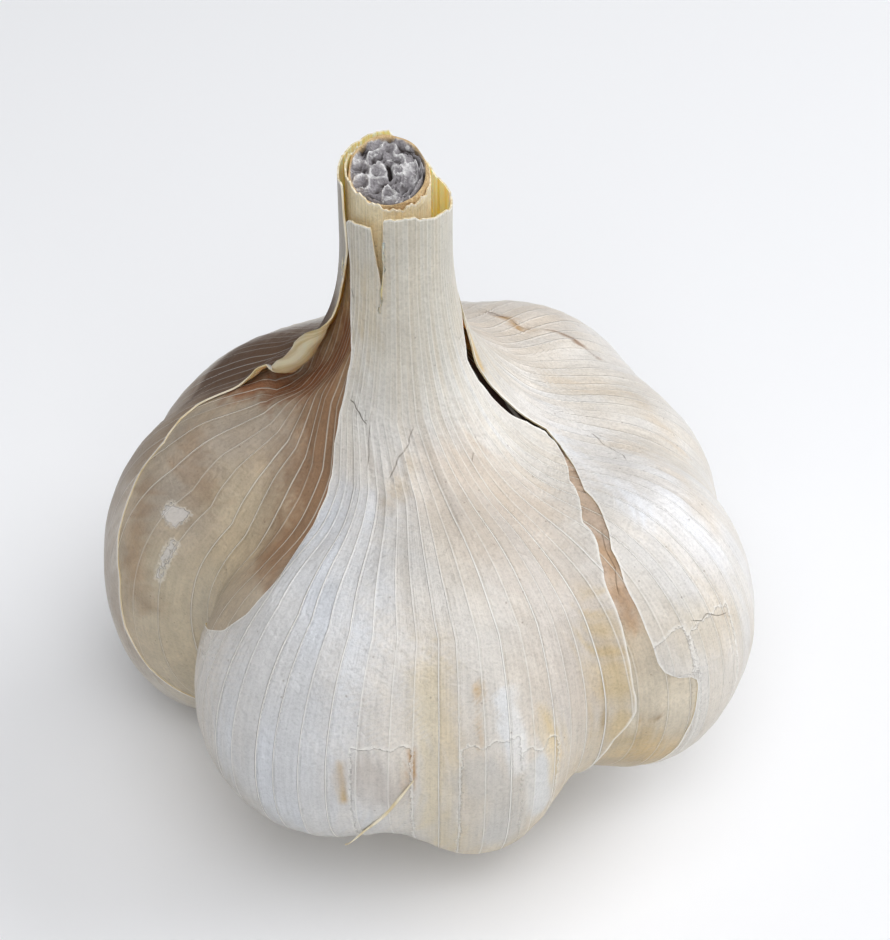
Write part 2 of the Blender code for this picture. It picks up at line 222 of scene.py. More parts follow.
def add(tree, kind, settings=None, **inputs):
    """Adds a node. Each input is a value, or the node or output that feeds it. i0 means the first input."""
    node = tree.nodes.new(kind)
    for name, value in (settings or {}).items():
        setattr(node, name, value)
    for name, value in inputs.items():
        key = int(name[1:]) if name[0] == "i" and name[1:].isdigit() else name.replace("_", " ")
        socket = node.inputs[key]
        if isinstance(value, bpy.types.Node):
            value = value.outputs[0]
        if isinstance(value, bpy.types.NodeSocket):
            tree.links.new(value, socket)
        elif isinstance(value, str):
            socket.default_value = (*linear(value), 1)
        else:
            socket.default_value = value
    return node


def new_material(name):
    material = bpy.data.materials.new(name)
    material.use_nodes = True
    return material, material.node_tree, material.node_tree.nodes["Principled BSDF"]


def dress(tree, shader, colour, height, roughness, ior=1.5):
    """Gives the shader its colour, its relief in millimetres, its roughness and its IOR."""
    bump = add(tree, "ShaderNodeBump", Height=height, Distance=MM)
    tree.links.new(colour, shader.inputs["Base Color"])
    tree.links.new(bump.outputs[0], shader.inputs["Normal"])
    shader.inputs["Roughness"].default_value = roughness
    shader.inputs["IOR"].default_value = ior


MATH, VECTOR, RANGE = "ShaderNodeMath", "ShaderNodeVectorMath", "ShaderNodeMapRange"
MIX, NOISE, STORED = "ShaderNodeMix", "ShaderNodeTexNoise", "ShaderNodeAttribute"
MULTIPLY, SUBTRACT, ABSOLUTE = {"operation": "MULTIPLY"}, {"operation": "SUBTRACT"}, {"operation": "ABSOLUTE"}
SUM, SUM_OF_PRODUCT = {"operation": "ADD"}, {"operation": "MULTIPLY_ADD"}
SMOOTH, COLOUR, FLAT = {"interpolation_type": "SMOOTHSTEP"}, {"data_type": "RGBA"}, {"noise_dimensions": "2D"}
print("cream in linear light:", [round(v, 3) for v in linear("e8e0d0")])

# %% [markdown]
# ## A leaf is a sheet
#
# Each skin starts as a flat grid. Its columns are laid along the veins and its rows across them, and each
# vertex then moves to its place on the bulb. Cloth simulation could drape the sheet, but these leaves grew
# round the cloves and dried there, so they follow the surface more closely than a draped cloth would.

# %% Start a sheet and survey its places
Place = namedtuple("Place", "bearing down per_degree per_down")


def sheet(name, columns, rows):
    """A flat grid, with how far across and how far along it each vertex is, from 0 to 1."""
    bpy.ops.object.select_all(action="DESELECT")
    bpy.ops.mesh.primitive_grid_add(x_subdivisions=columns, y_subdivisions=rows, size=2)
    piece = bpy.context.object
    piece.name = piece.data.name = name
    places = np.empty(3 * len(piece.data.vertices))
    piece.data.vertices.foreach_get("co", places)
    x, y, _ = places.reshape(-1, 3).T
    return piece, (x + 1) / 2, (1 - y) / 2


def survey(bearing, down):
    """Places on the bulb with the millimetres that a degree of bearing and a unit of down are there."""
    along = on_bulb(bearing, down + 0.002, 0.0) - on_bulb(bearing, down - 0.002, 0.0)
    return Place(bearing, down, mm_per_degree(bearing, down), np.linalg.norm(along, axis=-1) / MM / 0.004)


def from_start(place, start, end):
    """Millimetres sideways and down from the start of a path's stretch, to each place and to its end."""
    turn = (place.bearing - start[0] + 180) % 360 - 180
    to_place = turn * place.per_degree, (place.down - start[1]) * place.per_down
    return *to_place, (end[0] - start[0]) * place.per_degree, (end[1] - start[1]) * place.per_down


def path_distance(place, path):
    """Millimetres from each place to a path of (bearing, down) points."""
    nearest = np.full(place.bearing.shape, 1e9)
    for start, end in zip(path[:-1], path[1:]):
        ax, ay, bx, by = from_start(place, start, end)
        share = np.clip((ax * bx + ay * by) / (bx * bx + by * by + 1e-9), 0, 1)
        nearest = np.minimum(nearest, np.hypot(ax - share * bx, ay - share * by))
    return nearest


def smooth(value, low, high):
    """0 below low, 1 above high, and an even curve between."""
    share = np.clip((value - low) / (high - low), 0, 1)
    return share * share * (3 - 2 * share)


print("ready to lay sheets")

# %% [markdown]
# ## Veins
#
# A garlic leaf has parallel veins that run its whole length, about 3 mm apart over the shoulder and drawn
# together in the neck. The veins are numbered round the bulb. Each vertex gets its number, so that a whole
# number is the middle of a vein, and the millimetres from one vein to the next. The shader reads both.

# %% Number the veins and raise them
# Degrees from one vein to the next
FRONT_SPACING, BACK_SPACING, INNER_SPACING = 4.3, 3.6, 5.0


def number_veins(place, spacing, seed):
    """Which vein each place is on: a whole number at its middle."""
    count = round(360 / spacing)
    jitter = np.random.default_rng(seed).uniform(-0.16, 0.16, count)
    index = np.arange(-count, 2 * count)
    bearing = (index + jitter[index % count]) * 360 / count
    waver = 0.07 * wander(place.bearing / spacing * 0.4, place.down * 7, seed + 1)
    waver = waver + 0.015 * wander(place.bearing / spacing * 1.3, place.down * 30, seed + 2)
    return np.interp(place.bearing, bearing, index) + waver


def leaf_relief(place, vein, spacing):
    """Millimetres that a leaf stands off the smooth surface: pleats between its veins, and slack."""
    gap = spacing * place.per_degree
    from_vein = 2 * np.abs(vein - np.round(vein))
    pleat = 0.07 * np.clip(gap / 3, 0.25, 1) * (1 - from_vein) ** 2
    # Leaves that lie on each other share their slack
    turned = place.bearing % 360
    slack = 0.2 * wander(turned / 9, place.down * 8, 34)
    slack = slack + 0.08 * wander(turned / 3.1, place.down * 22, 35)
    return pleat + slack * smooth(place.down, 0.1, 0.3) * smooth(np.minimum(turned, 360 - turned), 0, 8)


print("veins on a leaf that goes all round:", round(360 / INNER_SPACING))

# %% [markdown]
# ## Colour laid on by place
#
# The skins are bleached, stained and grown over each other by turns, so their colour changes from place to
# place. Each vertex gets a colour: tones that change down the leaf, and then spots, each a short path with
# a width and a soft border. It is how a model maker would wash colour over a cast.

# %% Lay colour on a leaf
Spot = namedtuple("Spot", "colour strength width soft path")


def tones(down, table):
    """Linear colours that change with down, from a table of (down, hex colour)."""
    stops = np.array([linear(colour) for _, colour in table])
    return np.stack([np.interp(down, [stop for stop, _ in table], stops[:, i]) for i in range(3)], axis=-1)


def painted(place, table, spots, seed):
    """The colour of each vertex: tones down the leaf, with the spots washed over them in turn."""
    colour = tones(place.down, table)
    sideways = place.bearing * place.per_degree
    for number, spot in enumerate(spots):
        away = path_distance(place, spot.path)
        # The borders run out in streaks along the veins
        rough = 0.25 + min(spot.soft, 3.0) * 0.55
        away = away + rough * wander(sideways / 0.9, place.down * 26, seed + number)
        away = away + 0.5 * rough * wander(sideways / 0.5, place.down * 90, seed + number + 40)
        share = spot.strength * (1 - smooth(away, spot.width - spot.soft, spot.width + spot.soft))
        colour = colour * (1 - share[:, None]) + np.array(linear(spot.colour)) * share[:, None]
    return colour


half_way = tones(np.array([0.5]), ((0, "f2e8cf"), (1, "8a6e50")))
print("half way from cream to brown:", half_way.round(2))

# %% [markdown]
# A dry leaf also cracks, and its top film flakes off in patches. Their borders are sharper than the mesh is
# fine, so each vertex gets its distance from them in millimetres, and the shader draws the border.

# %% Measure flaked patches and cracks
def flaked(place, patches, seed):
    """Millimetres outside the nearest flaked patch, which has straight sides and ragged ends."""
    # Each patch is given by the bearings of its sides, and how far down its top and its bottom are
    nearest = np.full(place.bearing.shape, 9.0)
    for number, (first, last, top, bottom) in enumerate(patches):
        middle, half = (first + last) / 2, (last - first) / 2
        turn = (place.bearing - middle + 180) % 360 - 180
        aside = (np.abs(turn) - half) * place.per_degree + 0.3 * wander(place.down * 48, 0.5, seed + number)
        ragged = 0.8 * wander(place.bearing * 0.45, 0.5, seed + number)
        ragged = ragged + 0.4 * wander(place.bearing * 1.3, 0.5, seed)
        beyond = np.maximum(top - place.down, place.down - bottom) * place.per_down + ragged
        corner = np.hypot(np.maximum(aside, 0), np.maximum(beyond, 0))
        nearest = np.minimum(nearest, np.where(corner > 0, corner, np.maximum(aside, beyond)))
    return nearest


def cracked(place, cracks):
    """Millimetres across the nearest crack, with a sign for its side, and how open it is, from 0 to 1."""
    # Each crack is given by how open it is, and its path
    across, opened = np.full(place.bearing.shape, 9.0), np.zeros(place.bearing.shape)
    for depth, path in cracks:
        for number, (start, end) in enumerate(zip(path[:-1], path[1:])):
            ax, ay, bx, by = from_start(place, start, end)
            length = np.hypot(bx, by) + 1e-9
            bx, by = bx / length, by / length
            along = ax * bx + ay * by
            nearest = np.clip(along, 0, length)
            away = np.hypot(ax - nearest * bx, ay - nearest * by)
            begun = 1.0 if number else smooth(along, 0, 0.6)
            ended = 1.0 if number < len(path) - 2 else smooth(length - along, 0, 0.6)
            nearer = away < np.abs(across)
            across = np.where(nearer, np.where(ax * by > ay * bx, away, -away), across)
            opened = np.where(nearer, depth * begun * ended * (1 - smooth(away, 0.8, 1.4)), opened)
    return across, opened


middle = survey(np.array([-90.0]), np.array([0.5]))
print("from a crack 1 degree away:", cracked(middle, ((1.0, ((-91, 0.4), (-91, 0.6))),))[0].round(2), "mm")

# %% [markdown]
# ## Finish a sheet
#
# The colours and distances are kept on the vertices under a name each, where the shader finds them. The leaf
# is also unrolled on a map, with the bearing across and down the other way, so that fibres can follow it.

# %% Store what the shader reads
def store(piece, **values):
    """Keeps values on the vertices, as a colour where each is three numbers."""
    for name, value in values.items():
        if value.ndim == 2:
            attribute = piece.data.attributes.new(name, "FLOAT_COLOR", "POINT")
            value = np.concatenate([value, np.ones((len(value), 1))], axis=1)
            attribute.data.foreach_set("color", value.astype(np.float32).ravel())
        else:
            attribute = piece.data.attributes.new(name, "FLOAT", "POINT")
            attribute.data.foreach_set("value", value.astype(np.float32))


def lay(piece, places, bearing, down):
    """Moves the vertices to their places and unrolls the leaf on its UV map."""
    piece.data.vertices.foreach_set("co", places.ravel())
    corners = np.empty(len(piece.data.loops), int)
    piece.data.loops.foreach_get("vertex_index", corners)
    unrolled = np.stack([bearing[corners] / 360 + 0.5, 1 - down[corners]], axis=1)
    piece.data.uv_layers.active.data.foreach_set("uv", unrolled.ravel())
    piece.data.uv_layers.active.name = "leaf"
    piece.data.update()


print("a leaf is unrolled on the map called leaf")

# %% [markdown]
# Once the vertices are in place, the leaf is given its thickness inwards, so that a torn edge shows as
# paper. The thickened mesh has three materials: the outer face, the inner face, and the edge. Pieces that
# were rolled up from a sheet have their seams closed first.

# %% Close seams and thicken the leaf
LEAF_THICKNESS = 0.24


def close_seams(within, closed=True):
    """Merges vertices that lie together, and on a closed piece turns every face outwards."""
    bpy.ops.object.mode_set(mode="EDIT")
    bpy.ops.mesh.select_all(action="SELECT")
    bpy.ops.mesh.remove_doubles(threshold=within)
    if closed:
        bpy.ops.mesh.normals_make_consistent(inside=False)
    bpy.ops.object.mode_set(mode="OBJECT")


def thicken(piece, thickness, materials):
    """Gives a sheet its wall, and a material each to its outer face, its inner face and its edge."""
    for material in materials:
        piece.data.materials.append(material)
    bpy.context.view_layer.objects.active = piece
    wall = piece.modifiers.new("wall", "SOLIDIFY")
    wall.thickness = thickness * MM
    wall.offset = -1
    wall.material_offset = 1
    wall.material_offset_rim = 2
    bpy.ops.object.modifier_apply(modifier="wall")
    bpy.ops.object.shade_smooth_by_angle(angle=math.radians(50))
    print(piece.name, "has", sum(len(face.vertices) - 2 for face in piece.data.polygons), "triangles")


def finish(piece, slot, *nodes):
    """Fixes a piece to the bulb's one body and hides the CAD nodes that it stands in for."""
    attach(piece, "root")
    if nodes:
        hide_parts(*nodes)


print("a leaf will be", LEAF_THICKNESS, "mm thick")

# %% [markdown]
# ## The finish of a dried leaf
#
# Dried garlic leaf is a sheet of cellulose fibre, like thin paper with a faint silky gloss. It was made by
# growing and drying: the veins stand up as pale ribs, the tissue between them sinks and shows its fibres,
# and dust and mould leave pinprick specks. Paper has an IOR near 1.5. Its roughness is 0.34 where it is
# silky and 0.48 where it is dull. The veins come first. They are drawn from the numbers stored on the leaf,
# so they follow it wherever it turns.

# %% Draw the veins
def draw_veins(tree, vein, gap):
    """Where the ribs are, and the crease beside each with a painted shadow in it, from 0 to 1."""
    # How far a point is from the nearest vein, in millimetres, and a random number for that vein
    whole = add(tree, MATH, {"operation": "ROUND"}, i0=vein)
    aside = add(tree, MATH, SUBTRACT, i0=vein, i1=whole)
    aside = add(tree, MATH, MULTIPLY, i0=aside, i1=gap)
    luck = add(tree, "ShaderNodeTexWhiteNoise", {"noise_dimensions": "1D"}, W=whole)
    strong = add(tree, RANGE, i0=luck.outputs["Value"], i3=0.35, i4=1.0)
    # Veins that are drawn together in the neck are fainter
    spread = add(tree, RANGE, i0=gap, i1=0.4, i2=2.2, i3=0.22, i4=1.0)
    strong = add(tree, MATH, MULTIPLY, i0=strong, i1=spread)
    # A rib is 0.2 mm wide, and its crease 0.25 mm to one side, with a painted shadow of the rib in it
    away = add(tree, MATH, ABSOLUTE, i0=aside)
    rib = add(tree, RANGE, SMOOTH, i0=away, i1=0.04, i2=0.16, i3=1.0, i4=0.0)
    rib = add(tree, MATH, MULTIPLY, i0=rib, i1=strong)
    beside = add(tree, MATH, SUBTRACT, i0=aside, i1=0.25)
    beside = add(tree, MATH, ABSOLUTE, i0=beside)
    crease_and_shadow = add(tree, RANGE, SMOOTH, i0=beside, i1=0.0, i2=0.16, i3=1.0, i4=0.0)
    crease_and_shadow = add(tree, MATH, MULTIPLY, i0=crease_and_shadow, i1=strong)
    return rib, crease_and_shadow


print("veins ready to draw")

# %% [markdown]
# Between the veins lies the tissue. Its fibres run with the veins, its cells show as grain, and drying left
# it crinkled and mottled. Each of these is a noise with the size of the real thing. The grain also makes
# the pores, which show as grey dots.

# %% Draw the tissue and tone it
Tissue = namedtuple("Tissue", "tint fibre grain mottle crinkle")


def draw_tissue(tree, place, vein):
    """A tint for each strip between two veins, and the noises of the tissue."""
    unrolled = add(tree, "ShaderNodeUVMap", {"uv_map": "leaf"})
    down_leaf = add(tree, "ShaderNodeSeparateXYZ", i0=unrolled).outputs["Y"]
    # Fibres 0.35 mm apart run with the veins and last about 10 mm
    lengthwise = add(tree, "ShaderNodeCombineXYZ", X=vein, Y=down_leaf)
    lengthwise = add(tree, VECTOR, MULTIPLY, i0=lengthwise, i1=(8.0, 14.0, 1.0))
    fibre = add(tree, NOISE, FLAT, Vector=lengthwise, Scale=1.0, Detail=3.0)
    # The strip between two veins has a tint of its own, which changes every 15 mm or so
    strip = add(tree, MATH, {"operation": "FLOOR"}, i0=vein)
    strip = add(tree, "ShaderNodeCombineXYZ", X=strip, Y=down_leaf)
    strip = add(tree, VECTOR, MULTIPLY, i0=strip, i1=(5.7, 7.0, 1.0))
    strip = add(tree, NOISE, FLAT, Vector=strip, Scale=1.0, Detail=1.0)
    strip = add(tree, RANGE, i0=strip, i1=0.35, i2=0.65, i3=0.0, i4=1.0)
    warm, cool = (0.985, 0.955, 0.91, 1), (1.005, 1.01, 1.015, 1)
    tint = add(tree, MIX, COLOUR, i0=strip, i6=warm, i7=cool).outputs[2]
    # Grain is as fine as the cells, 0.4 mm, crinkles are 1.5 mm apart, and mottling about 5 mm
    grain = add(tree, NOISE, Vector=place, Scale=2400.0, Detail=2.0)
    crinkle = add(tree, NOISE, Vector=place, Scale=650.0, Detail=2.0, Distortion=0.8)
    mottle = add(tree, NOISE, Vector=place, Scale=190.0, Detail=4.0, Roughness=0.6)
    return Tissue(tint, fibre, grain, mottle, crinkle)


def tone_tissue(tree, paint, tissue, mottling):
    """The painted colour, shifted a little by the tissue."""
    fine = add(tree, RANGE, i0=tissue.grain, i1=0.3, i2=0.7, i3=0.87, i4=1.1)
    low, high = 1 - 0.05 * mottling, 1 + 0.03 * mottling
    broad = add(tree, RANGE, i0=tissue.mottle, i1=0.35, i2=0.65, i3=low, i4=high)
    # Pores about 0.3 mm across show where the mottling is dark
    pores = add(tree, RANGE, i0=tissue.grain, i1=0.57, i2=0.66, i3=0.0, i4=1.0)
    among = add(tree, RANGE, i0=tissue.mottle, i1=0.5, i2=0.66, i3=1.0, i4=0.0)
    pores = add(tree, MATH, MULTIPLY, i0=pores, i1=among)
    pores = add(tree, RANGE, i0=pores, i1=0.0, i2=1.0, i3=1.0, i4=0.84)
    shift = add(tree, RANGE, i0=tissue.fibre, i1=0.3, i2=0.7, i3=0.94, i4=1.04)
    for part in (fine, broad, pores):
        shift = add(tree, MATH, MULTIPLY, i0=shift, i1=part)
    colour = add(tree, VECTOR, MULTIPLY, i0=paint, i1=tissue.tint)
    return add(tree, VECTOR, {"operation": "SCALE"}, i0=colour, Scale=shift).outputs[0]


print("tissue ready to draw")

# %% [markdown]
# A leaf this dry is never whole. Specks lie all over it. A flaked patch has a ragged border with a pale lip
# that curls up, a crack is a fine dark line with one side higher than the other, and along a torn edge
# the bare fibres show.

# %% Draw the flaws
def draw_specks(tree, place):
    """Specks 0.3 mm across. The leaf is parted into cells 2 mm wide, and about half of them have one."""
    cells = add(tree, "ShaderNodeTexVoronoi", Vector=place, Scale=520.0)
    speck = add(tree, RANGE, i0=cells, i1=0.05, i2=0.1, i3=1.0, i4=0.0)
    chosen = add(tree, "ShaderNodeSeparateColor", i0=cells.outputs["Color"])
    chosen = add(tree, MATH, {"operation": "GREATER_THAN"}, i0=chosen, i1=0.5)
    return add(tree, MATH, MULTIPLY, i0=speck, i1=chosen)


def draw_patches(tree, flake, grain):
    """Where a flaked patch is, and the lip around it."""
    ragged = add(tree, RANGE, i0=grain, i1=0.3, i2=0.7, i3=-0.25, i4=0.25)
    border = add(tree, MATH, SUM, i0=flake, i1=ragged)
    patch = add(tree, RANGE, i0=border, i1=-0.12, i2=0.0, i3=1.0, i4=0.0)
    outside = add(tree, MATH, SUBTRACT, i0=1.0, i1=patch)
    lip = add(tree, RANGE, i0=border, i1=0.0, i2=0.45, i3=1.0, i4=0.0)
    return patch, add(tree, MATH, MULTIPLY, i0=lip, i1=outside)


def draw_cracks(tree, crack, opened):
    """The line of a crack, 0.15 mm wide, and the step up on one side of it."""
    line = add(tree, MATH, ABSOLUTE, i0=crack)
    line = add(tree, RANGE, SMOOTH, i0=line, i1=0.02, i2=0.13, i3=1.0, i4=0.0)
    step = add(tree, RANGE, SMOOTH, i0=crack, i1=-0.1, i2=0.15, i3=0.0, i4=1.0)
    return [add(tree, MATH, MULTIPLY, i0=part, i1=opened) for part in (line, step)]


print("flaws ready to draw")

# %% [markdown]
# Now the material is put together. Colours are laid over each other in the order in which they came to the
# leaf, and the relief is a sum of heights in millimetres. There are three kinds. The front leaf is bleached
# and dusty, the back leaf is finer and silky, and the inner leaf, which was sheltered, is tan and mottled
# and shows pale fibre where it has flaked.

# %% Make the three dried leaf materials
def leaf_material(name, rib_colour, rib_share, roughness, relief, mottling, bare):
    material, tree, shader = new_material(name)
    paint = add(tree, STORED, {"attribute_name": "paint"}).outputs["Color"]
    vein, gap, flake, edge, crack, opened = [
        add(tree, STORED, {"attribute_name": value}).outputs["Fac"]
        for value in ("vein", "gap", "flake", "edge", "crack", "opened")
    ]
    place = add(tree, "ShaderNodeTexCoord").outputs["Object"]
    rib, crease_and_shadow = draw_veins(tree, vein, gap)
    tissue = draw_tissue(tree, place, vein)
    patch, lip = draw_patches(tree, flake, tissue.grain)
    line, step = draw_cracks(tree, crack, opened)
    # The last third of a millimetre before a torn edge is bare fibre
    torn = add(tree, RANGE, i0=edge, i1=0.1, i2=0.35, i3=0.7, i4=0.0)

    colour = tone_tissue(tree, paint, tissue, mottling)
    share = add(tree, MATH, MULTIPLY, i0=rib, i1=rib_share)
    colour = add(tree, MIX, COLOUR, i0=share, i6=colour, i7=rib_colour).outputs[2]
    # The crease beside each rib is darkened: a painted shadow of the rib
    share = add(tree, MATH, MULTIPLY, i0=crease_and_shadow, i1=0.17)
    dark = add(tree, VECTOR, MULTIPLY, i0=colour, i1=(0.62, 0.52, 0.42))
    colour = add(tree, MIX, COLOUR, i0=share, i6=colour, i7=dark).outputs[2]
    for part, amount, hex_colour in (
        (draw_specks(tree, place), 0.42, "6a5240"),
        (patch, bare, "e2dfdb"),
        (lip, 0.6, rib_colour),
        (line, 0.5, "7a6650"),
        (torn, 1.0, rib_colour),
    ):
        share = add(tree, MATH, MULTIPLY, i0=part, i1=amount)
        colour = add(tree, MIX, COLOUR, i0=share, i6=colour, i7=hex_colour).outputs[2]

    height = 0.0
    for part, amount in (
        (rib, 0.17), (crease_and_shadow, -0.05), (tissue.fibre, 0.06), (tissue.grain, 0.085), (tissue.mottle, 0.3),
        (tissue.crinkle, 0.22), (lip, 0.1), (patch, -0.1), (line, -0.15), (step, 0.2),
    ):
        height = add(tree, MATH, SUM_OF_PRODUCT, i0=part, i1=amount * relief, i2=height)
    dress(tree, shader, colour, height, roughness)

    # Grain breaks up the gloss, and dark places are weathered through, and duller
    low, high = roughness - 0.06, roughness + 0.08
    gloss = add(tree, RANGE, i0=tissue.grain, i1=0.3, i2=0.7, i3=low, i4=high)
    green = add(tree, "ShaderNodeSeparateColor", i0=paint).outputs["Green"]
    dull = add(tree, RANGE, i0=green, i1=0.03, i2=0.4, i3=0.4, i4=0.0)
    gloss = add(tree, MATH, {"operation": "ADD", "use_clamp": True}, i0=gloss, i1=dull)
    tree.links.new(gloss.outputs[0], shader.inputs["Roughness"])
    print(material.name, "has", len(tree.nodes), "nodes")
    return material


bleached = leaf_material("dried garlic leaf, bleached and dusty", "fbf8f0", rib_share=0.95, roughness=0.4,
                         relief=1.0, mottling=1.0, bare=0.0)
silky = leaf_material("dried garlic leaf, fine and silky", "f8f5ee", rib_share=0.42, roughness=0.34,
                      relief=0.7, mottling=1.0, bare=0.0)
tan_leaf = leaf_material("dried garlic leaf, tan and sheltered", "efe8da", rib_share=0.765, roughness=0.48,
                         relief=1.0, mottling=2.6, bare=0.6)

# %% [markdown]
# The inner face of a leaf never saw the sun. It keeps a yellow tint, which is deeper near the cut at the top
# of the neck, and light from outside glows through it. A torn edge shows the same fibres, dry and dull.

# %% Make the inner face and the torn edge
def fibre_material(name, light, dark, roughness, glows=False):
    material, tree, shader = new_material(name)
    unrolled = add(tree, "ShaderNodeUVMap", {"uv_map": "leaf"})
    # Fibres 0.4 mm apart in the neck, where a turn is 46 mm
    stretched = add(tree, VECTOR, MULTIPLY, i0=unrolled, i1=(120.0, 9.0, 1.0))
    fibre = add(tree, NOISE, FLAT, Vector=stretched, Scale=1.0, Detail=3.0)
    share = add(tree, RANGE, i0=fibre, i1=0.35, i2=0.65, i3=0.0, i4=1.0)
    colour = add(tree, MIX, COLOUR, i0=share, i6=dark, i7=light).outputs[2]
    if glows:
        # The top 8 mm of the neck are deeper yellow, which fades out over the next 8 mm
        height = add(tree, "ShaderNodeSeparateXYZ", i0=unrolled).outputs["Y"]
        young = add(tree, RANGE, i0=height, i1=0.87, i2=0.91, i3=0.0, i4=1.0)
        yellow = add(tree, MIX, COLOUR, i0=share, i6="f6cf88", i7="fff0d2").outputs[2]
        colour = add(tree, MIX, COLOUR, i0=young, i6=colour, i7=yellow).outputs[2]
        # Light travels about 1.6 mm in the leaf, red the farthest
        shader.inputs["Subsurface Weight"].default_value = 0.85
        shader.inputs["Subsurface Radius"].default_value = (1.0, 0.62, 0.34)
        shader.inputs["Subsurface Scale"].default_value = 1.6 * MM
    height = add(tree, MATH, MULTIPLY, i0=fibre, i1=0.15)
    dress(tree, shader, colour, height, roughness)
    return material


inner_face = fibre_material("dried garlic leaf, yellow inner face", "dac6a9", "b79e78", 0.5, glows=True)
torn_edge = fibre_material("dried garlic leaf, torn edge", "f2e8cf", "d8c69c", 0.7)
print("inner face and torn edge ready")

# %% [markdown]
# ## Torn edges
#
# A torn edge is a line of places: how far down it is, and at what bearing. The front leaf ends on its left
# at the open window and on its right along the split. The rim of the neck is read the other way round, as
# how far down it is at each bearing. It is highest at the back, falls away to the right, and has a
# notch in front. A small wandering in millimetres makes all these edges ragged.

# %% Draw the torn edges
FRONT_LEFT_EDGE = ((0, -153), (0.06, -149), (0.095, -142), (0.135, -139), (0.165, -131), (0.22, -129),
                   (0.26, -133), (0.34, -133), (0.41, -132), (0.47, -129), (0.52, -131), (0.545, -135),
                   (0.58, -147), (0.61, -142), (0.65, -137), (0.9, -134))
FRONT_RIGHT_EDGE = ((0, 10), (0.13, 7), (0.15, 3), (0.168, -10), (0.19, -20.5), (0.215, -20), (0.238, -17),
                    (0.255, -13.5), (0.273, -10), (0.29, -6.5), (0.32, -5), (0.34, -11), (0.362, -28),
                    (0.4, -41), (0.48, -48), (0.545, -50), (0.615, -51), (0.65, -54), (0.7, -56), (0.9, -58))
BACK_RIGHT_EDGE = ((0, 15), (0.13, 12), (0.16, 6), (0.19, -6), (0.205, -11), (0.225, -9.5), (0.247, -7),
                   (0.263, -6), (0.29, -4), (0.325, -3.5), (0.34, -9), (0.375, -30), (0.413, -37),
                   (0.45, -42), (0.508, -45), (0.575, -45.5), (0.588, -44.7), (0.597, -42.5), (0.602, -40),
                   (0.606, -38.8), (0.615, -38.4), (0.67, -40), (0.9, -42))
BACK_LEFT_EDGE = ((0, 203), (0.06, 207), (0.09, 212), (0.128, 200), (0.173, 195), (0.2, 192),
                  (0.223, 187), (0.26, 168), (0.357, 167), (0.445, 170), (0.475, 175), (0.512, 179),
                  (0.545, 182), (0.583, 184), (0.625, 187), (0.677, 188), (0.718, 191), (0.763, 194),
                  (0.8, 198), (0.9, 203))
OUTER_RIM = ((-180, 0.04), (-154, 0.042), (-151.5, 0.068), (-149, 0.067), (-140, 0.062), (-125, 0.061),
             (-115.5, 0.061), (-113, 0.09), (-109, 0.113), (-105.5, 0.09), (-101.5, 0.053), (-89, 0.053),
             (-75, 0.053), (-55, 0.057), (-30, 0.06), (-15, 0.063), (5, 0.065), (25, 0.064), (45, 0.061),
             (60, 0.052), (75, 0.042), (90, 0.039), (93, 0.038), (97, 0.0335), (118, 0.0325), (140, 0.035),
             (160, 0.038), (180, 0.04))
INNER_RIM = ((-180, 0.034), (-90, 0.051), (0, 0.045), (90, 0.033), (180, 0.034))
# Below this, a leaf's rows no longer follow its rim
RIM_END = 0.165
# Roughly how many millimetres a unit of down is, over the whole leaf and in the neck
LEAF_LENGTH, NECK_LENGTH = 110, 190
# A rough reading of mm_per_degree down the leaf, to turn millimetres of wandering into degrees
SPREAD = ((0, 0.13), (0.16, 0.14), (0.25, 0.25), (0.35, 0.45), (0.5, 0.68), (0.65, 0.7), (0.8, 0.55),
          (0.9, 0.3))


def edge_at(edge, down, ragged, seed):
    """The bearing of a torn edge at each value of down, wandering by some millimetres."""
    along = down * LEAF_LENGTH
    away = wander(along / 3.1, 0.5, seed) + 0.5 * wander(along / 1.2, 0.5, seed + 1)
    return np.interp(down, *zip(*edge)) + ragged * away / np.interp(down, *zip(*SPREAD))


def rim_at(rim, bearing, ragged, seed):
    """How far down a cut rim lies at each bearing, wandering by some millimetres."""
    turned = (bearing + 180) % 360 - 180
    away = wander(turned / 14, 0.5, seed) + 0.6 * wander(turned / 5, 0.5, seed + 1)
    return np.interp(turned, *zip(*rim)) + ragged * away / NECK_LENGTH


def follow_rim(row, rim):
    """Moves the rows above RIM_END so that the first of them lies on the rim."""
    return np.where(row < RIM_END, RIM_END - (RIM_END - row) / (RIM_END - row.min()) * (RIM_END - rim), row)


def rolled(inward, reach, radius):
    """How far a strip along an edge is drawn back and lifted, when it is rolled up round a radius."""
    along = np.clip(reach - inward, 0, None)
    turn = along / np.maximum(radius, 0.05)
    return along - radius * np.sin(turn), radius * (1 - np.cos(turn))


print("edges drawn")
